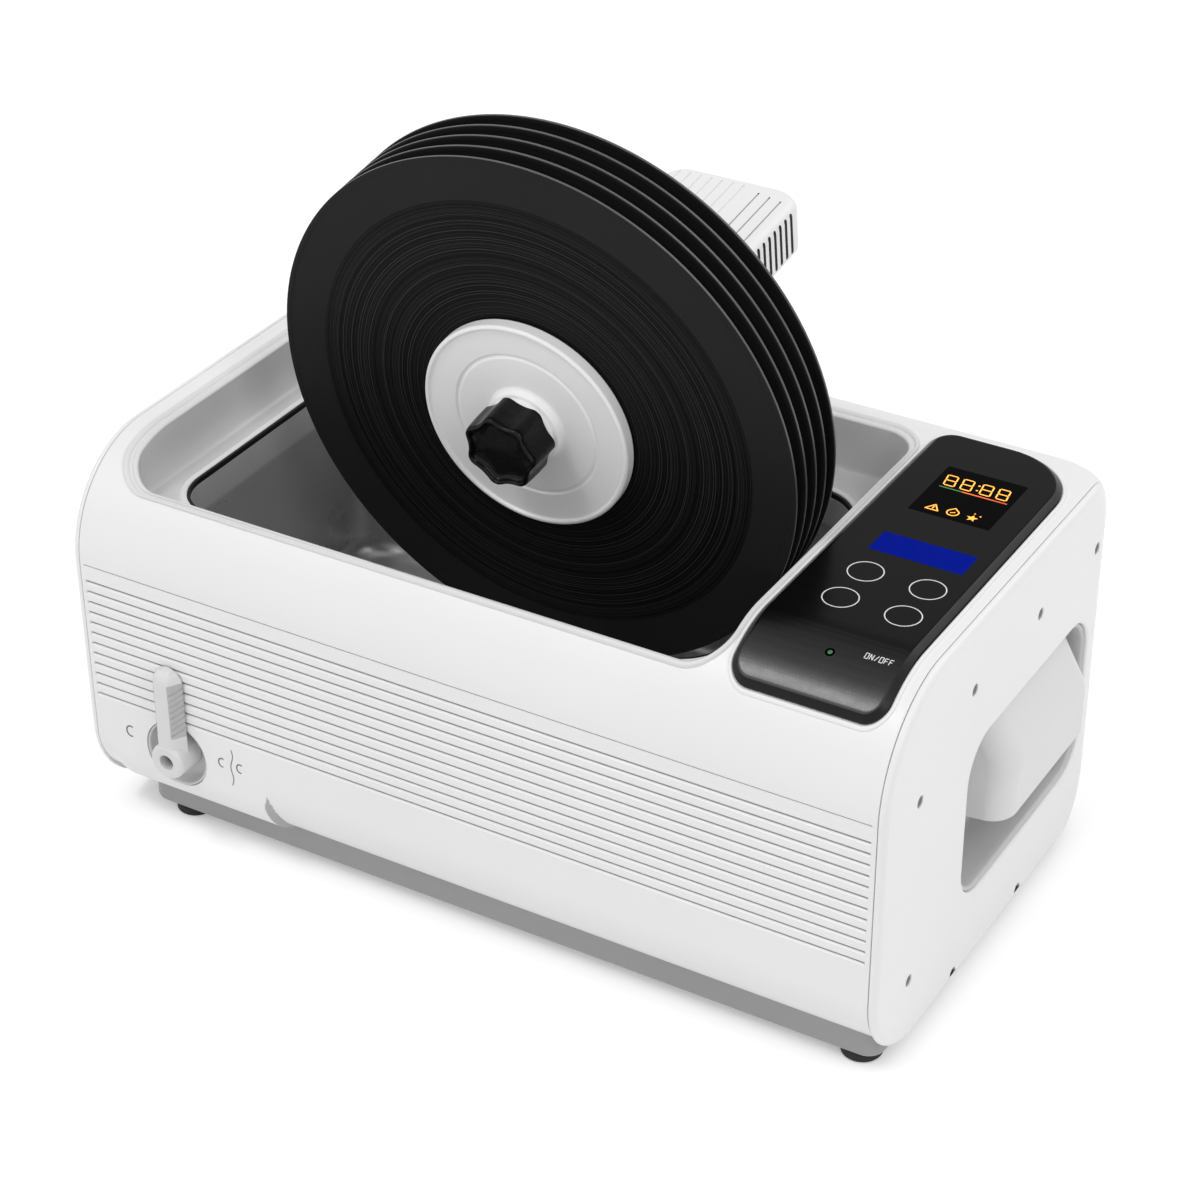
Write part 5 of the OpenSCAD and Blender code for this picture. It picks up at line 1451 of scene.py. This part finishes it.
# ---------------------------------------------------------------- base
def build_base():
    def row(i, z):
        return [P(x, y, z) for x, y in rrect(-217.5 + i, 232 - i, 20 + i, 264 - i, max(10 - i, 1), 10, 6, 6)]

    loops = [row(6, 6.02), row(3.0, 6.02), row(1.6, 6.3), row(0.7, 6.9), row(0.2, 7.8), row(0, 9.0), row(0, 25.6), row(0.3, 26.0),
             row(2.2, 26.0), row(2.5, 25.6), row(2.5, 9.5), row(3.5, 8.5), row(6, 8.5)]
    v, f = loft(loops, start=False, end=False)
    n = len(loops[0])
    f.append(tuple(range(n)))
    f.append(tuple((len(loops) - 1) * n + j for j in range(n)))
    me = new_mesh("base", v, f)
    # the tray's grey is partly painted shade under the casing
    place("base_pan", me, BASE_SHADED, "casing", ["base_tray"], angle=40)
    parts = []
    for x in (-195.5, 218):
        for y in (32, 252):
            prof = soften([(4.0, 2.0), (4.0, 0.0), (9.6, 0.0), (11.0, 1.2), (11.0, 5.0), (10.4, 6.0), (2.1, 6.0), (2.1, 2.0), (4.0, 2.0)],
                          [0, 0.4, 0.8, 0.8, 0.5, 0.4, 0, 0, 0], 3)
            v, f = revolve(prof, 48, "z")
            o = P(x, y, 0)
            parts.append(([p + o for p in v], f))
    place("feet_pads", new_mesh("feet", *join(parts)), FOOT, "casing", ["rubber_feet"], angle=50)


# ---------------------------------------------------------------- everything else
REFINED = [
    ("arm_bracket", "bracket_body", WHITE, "casing", 0.8, "casing_white"),
    ("arm_column", "column_body", WHITE, "arm", 0.9, "casing_white"),
    ("lock_knob", "lock_grip", KNOB, "lock", 0.6, "knob_black"),
    ("vent_grille", "grille_face", WHITE, "casing", 0.35, "casing_white"),
    ("mains_inlet", "inlet_body", INLET, "casing", 0.35, "inlet_black"),
    ("frame_screws", "frame_screw_set", SCREW, "casing", 0.25, "screw_steel"),
    ("valve_plug", "valve_core", PIPE, "drain", 0.3, "pipe_plastic"),
    ("valve_body", "valve_block", PIPE, "casing", 0.4, "pipe_plastic"),
    ("drain_elbow", "drain_pipe", PIPE, "casing", 0.3, "pipe_plastic"),
    ("fan_frame", "fan_case", INLET, "casing", 0.3, "inlet_black"),
    ("fan_rotor", "fan_blades", INLET, "fan", 0.2, "inlet_black"),
    ("tank_gasket", "gasket_band", GASKET, "casing", 0.2, "gasket_rubber"),
]


def shell_rear(x, z, inset=3.6):
    """How far back the inside of the rounded rear corners goes."""
    if z < 58:
        y = 244 + math.sqrt(max(0.0, (40 - inset) ** 2 - (58 - z) ** 2))
    elif z > 196:
        y = 255 + math.sqrt(max(0.0, (29 - inset) ** 2 - (z - 196) ** 2))
    else:
        y = 284 - inset
    return tuck(abs(x), y)


def build_frames():
    """The side frames, drawn in where the casing's rear corners are rounded."""
    for side in ("left", "right"):
        src = CAD["%s_side_frame" % side].data
        vs = []
        for p in src.vertices:
            x, y, z = p.co.x * 1000, p.co.y * 1000 + OY, p.co.z * 1000
            vs.append(P(x, min(y, shell_rear(x, z)), z))
        me = new_mesh("frame", vs, [tuple(q.vertices) for q in src.polygons])
        place("%s_frame_plate" % side, me, SHEET, "casing", ["%s_side_frame" % side], weighted=False)


KEPT = {
    "transducer_heads": ALLOY, "piezo_discs": CERAMIC, "transducer_tails": STEEL, "heater_pads": HEATER,
    "generator_board": BOARD, "board_capacitors": CAPACITOR, "board_transformer": COPPER, "board_heatsink": ALLOY,
    "control_board": BOARD, "gear_plate": SHEET, "spindle_motor": STEEL, "spindle_bearings": STEEL,
    "motor_pinion": BRASS, "driven_gear": GEARP, "spindle_shaft": SHAFT,
}


def build_rest():
    for node, name, m, body, bev, slot in REFINED:
        refine(node, name, m, body, bev, 2, slot)
    for node, m in KEPT.items():
        ob = CAD[node]
        if not ob.material_slots:
            ob.data.materials.append(m)
        for s in ob.material_slots:
            s.material = m


# ---------------------------------------------------------------- floor, light and camera
def lamp(name, at, to, size, power, size_y=None, colour=(1, 1, 1)):
    d = bpy.data.lights.new(name, "AREA")
    d.shape = "RECTANGLE"
    d.size = size
    d.size_y = size_y or size
    d.energy = power
    d.color = colour
    o = bpy.data.objects.new(name, d)
    scene.collection.objects.link(o)
    o.location = at
    o.rotation_euler = (Vector(to) - Vector(at)).to_track_quat("-Z", "Y").to_euler()
    return o


def seen_ray(t, lp):
    """1 for a ray from the camera, a mirror or glass, else 0."""
    last = lp.outputs["Is Camera Ray"]
    for kind in ("Is Glossy Ray", "Is Transmission Ray"):
        m = t.nodes.new("ShaderNodeMath")
        m.operation = "MAXIMUM"
        t.links.new(last, m.inputs[0])
        t.links.new(lp.outputs[kind], m.inputs[1])
        last = m.outputs["Value"]
    return last


def build_stage():
    bm = bmesh.new()
    s = 40.0
    n = 24
    g = [[bm.verts.new((-s + 2 * s * i / n, -s + 2 * s * j / n, 0)) for j in range(n + 1)] for i in range(n + 1)]
    for i in range(n):
        for j in range(n):
            bm.faces.new((g[i][j], g[i + 1][j], g[i + 1][j + 1], g[i][j + 1]))
    me = bpy.data.meshes.new("floor")
    bm.to_mesh(me)
    bm.free()
    floor = bpy.data.objects.new("floor", me)
    scene.collection.objects.link(floor)
    m = bpy.data.materials.new("floor_paper")
    m.use_nodes = True
    t = m.node_tree
    b = t.nodes["Principled BSDF"]
    b.inputs["Base Color"].default_value = (0.9, 0.9, 0.9, 1)
    b.inputs["Roughness"].default_value = 0.7
    b.inputs["Specular IOR Level"].default_value = 0.1
    # seen straight or in a mirror, the paper is lifted to white and keeps the shadow
    lp = t.nodes.new("ShaderNodeLightPath")
    white = t.nodes.new("ShaderNodeEmission")
    white.inputs["Color"].default_value = (1, 1, 1, 1)
    white.inputs["Strength"].default_value = 0.3
    none = t.nodes.new("ShaderNodeEmission")
    none.inputs["Strength"].default_value = 0.0
    lift = t.nodes.new("ShaderNodeMixShader")
    t.links.new(seen_ray(t, lp), lift.inputs["Fac"])
    t.links.new(none.outputs["Emission"], lift.inputs[1])
    t.links.new(white.outputs["Emission"], lift.inputs[2])
    add = t.nodes.new("ShaderNodeAddShader")
    t.links.new(b.outputs["BSDF"], add.inputs[0])
    t.links.new(lift.outputs["Shader"], add.inputs[1])
    t.links.new(add.outputs["Shader"], t.nodes["Material Output"].inputs["Surface"])
    me.materials.append(m)


def build_world():
    w = bpy.data.worlds.new("studio")
    scene.world = w
    w.use_nodes = True
    t = w.node_tree
    bg = t.nodes["Background"]
    bg.inputs["Color"].default_value = (1, 1, 1, 1)
    bg.inputs["Strength"].default_value = 0.56
    white = t.nodes.new("ShaderNodeBackground")
    white.inputs["Color"].default_value = (1, 1, 1, 1)
    white.inputs["Strength"].default_value = 1.0
    lp = t.nodes.new("ShaderNodeLightPath")
    mixer = t.nodes.new("ShaderNodeMixShader")
    t.links.new(seen_ray(t, lp), mixer.inputs["Fac"])
    t.links.new(bg.outputs["Background"], mixer.inputs[1])
    t.links.new(white.outputs["Background"], mixer.inputs[2])
    t.links.new(mixer.outputs["Shader"], t.nodes["World Output"].inputs["Surface"])


def build_camera():
    cam = bpy.data.cameras.new("camera")
    cam.sensor_width = 36.0
    cam.sensor_height = 36.0
    cam.sensor_fit = "HORIZONTAL"
    cam.lens = 3039.254 * 36.0 / 1200.0
    cam.shift_x = 0.0008
    cam.shift_y = 0.0015
    cam.clip_start = 0.05
    o = bpy.data.objects.new("camera", cam)
    scene.collection.objects.link(o)
    r = Vector((0.86270883, 0.50569251, -0.0029242))
    u = Vector((-0.26762559, 0.46145896, 0.84583224))
    f = Vector((-0.42908043, 0.72892435, -0.53344098))
    m = Matrix((r, u, -f)).transposed().to_4x4()
    m.translation = P(698.50, -1042.528, 1003.99)
    o.matrix_world = m
    scene.camera = o


build_camera()
build_shell()
for side in (-1, 1):
    build_cap(side)
    build_handle(side)
build_cap_screws()
build_surround()
build_tank()
build_fascia()
build_display()
build_keys()
build_records()
build_clamps()
build_knob()
build_head()
build_valve()
build_marks()
build_base()
build_frames()
build_rest()
build_stage()
build_world()

lamp("key", (-1.1, -1.9, 2.2), (0, 0, 0.15), 2.2, 12)
lamp("strip", (-0.74, -1.17, 2.4), (0.19, -0.13, 0.21), 0.8, 12, 0.3)
lamp("fill", (2.3, -0.9, 2.1), (0, 0, 0.15), 1.6, 17)
lamp("back", (1.2, 1.9, 2.2), (0, 0, 0.2), 1.8, 16)

scene.view_settings.view_transform = "Standard"
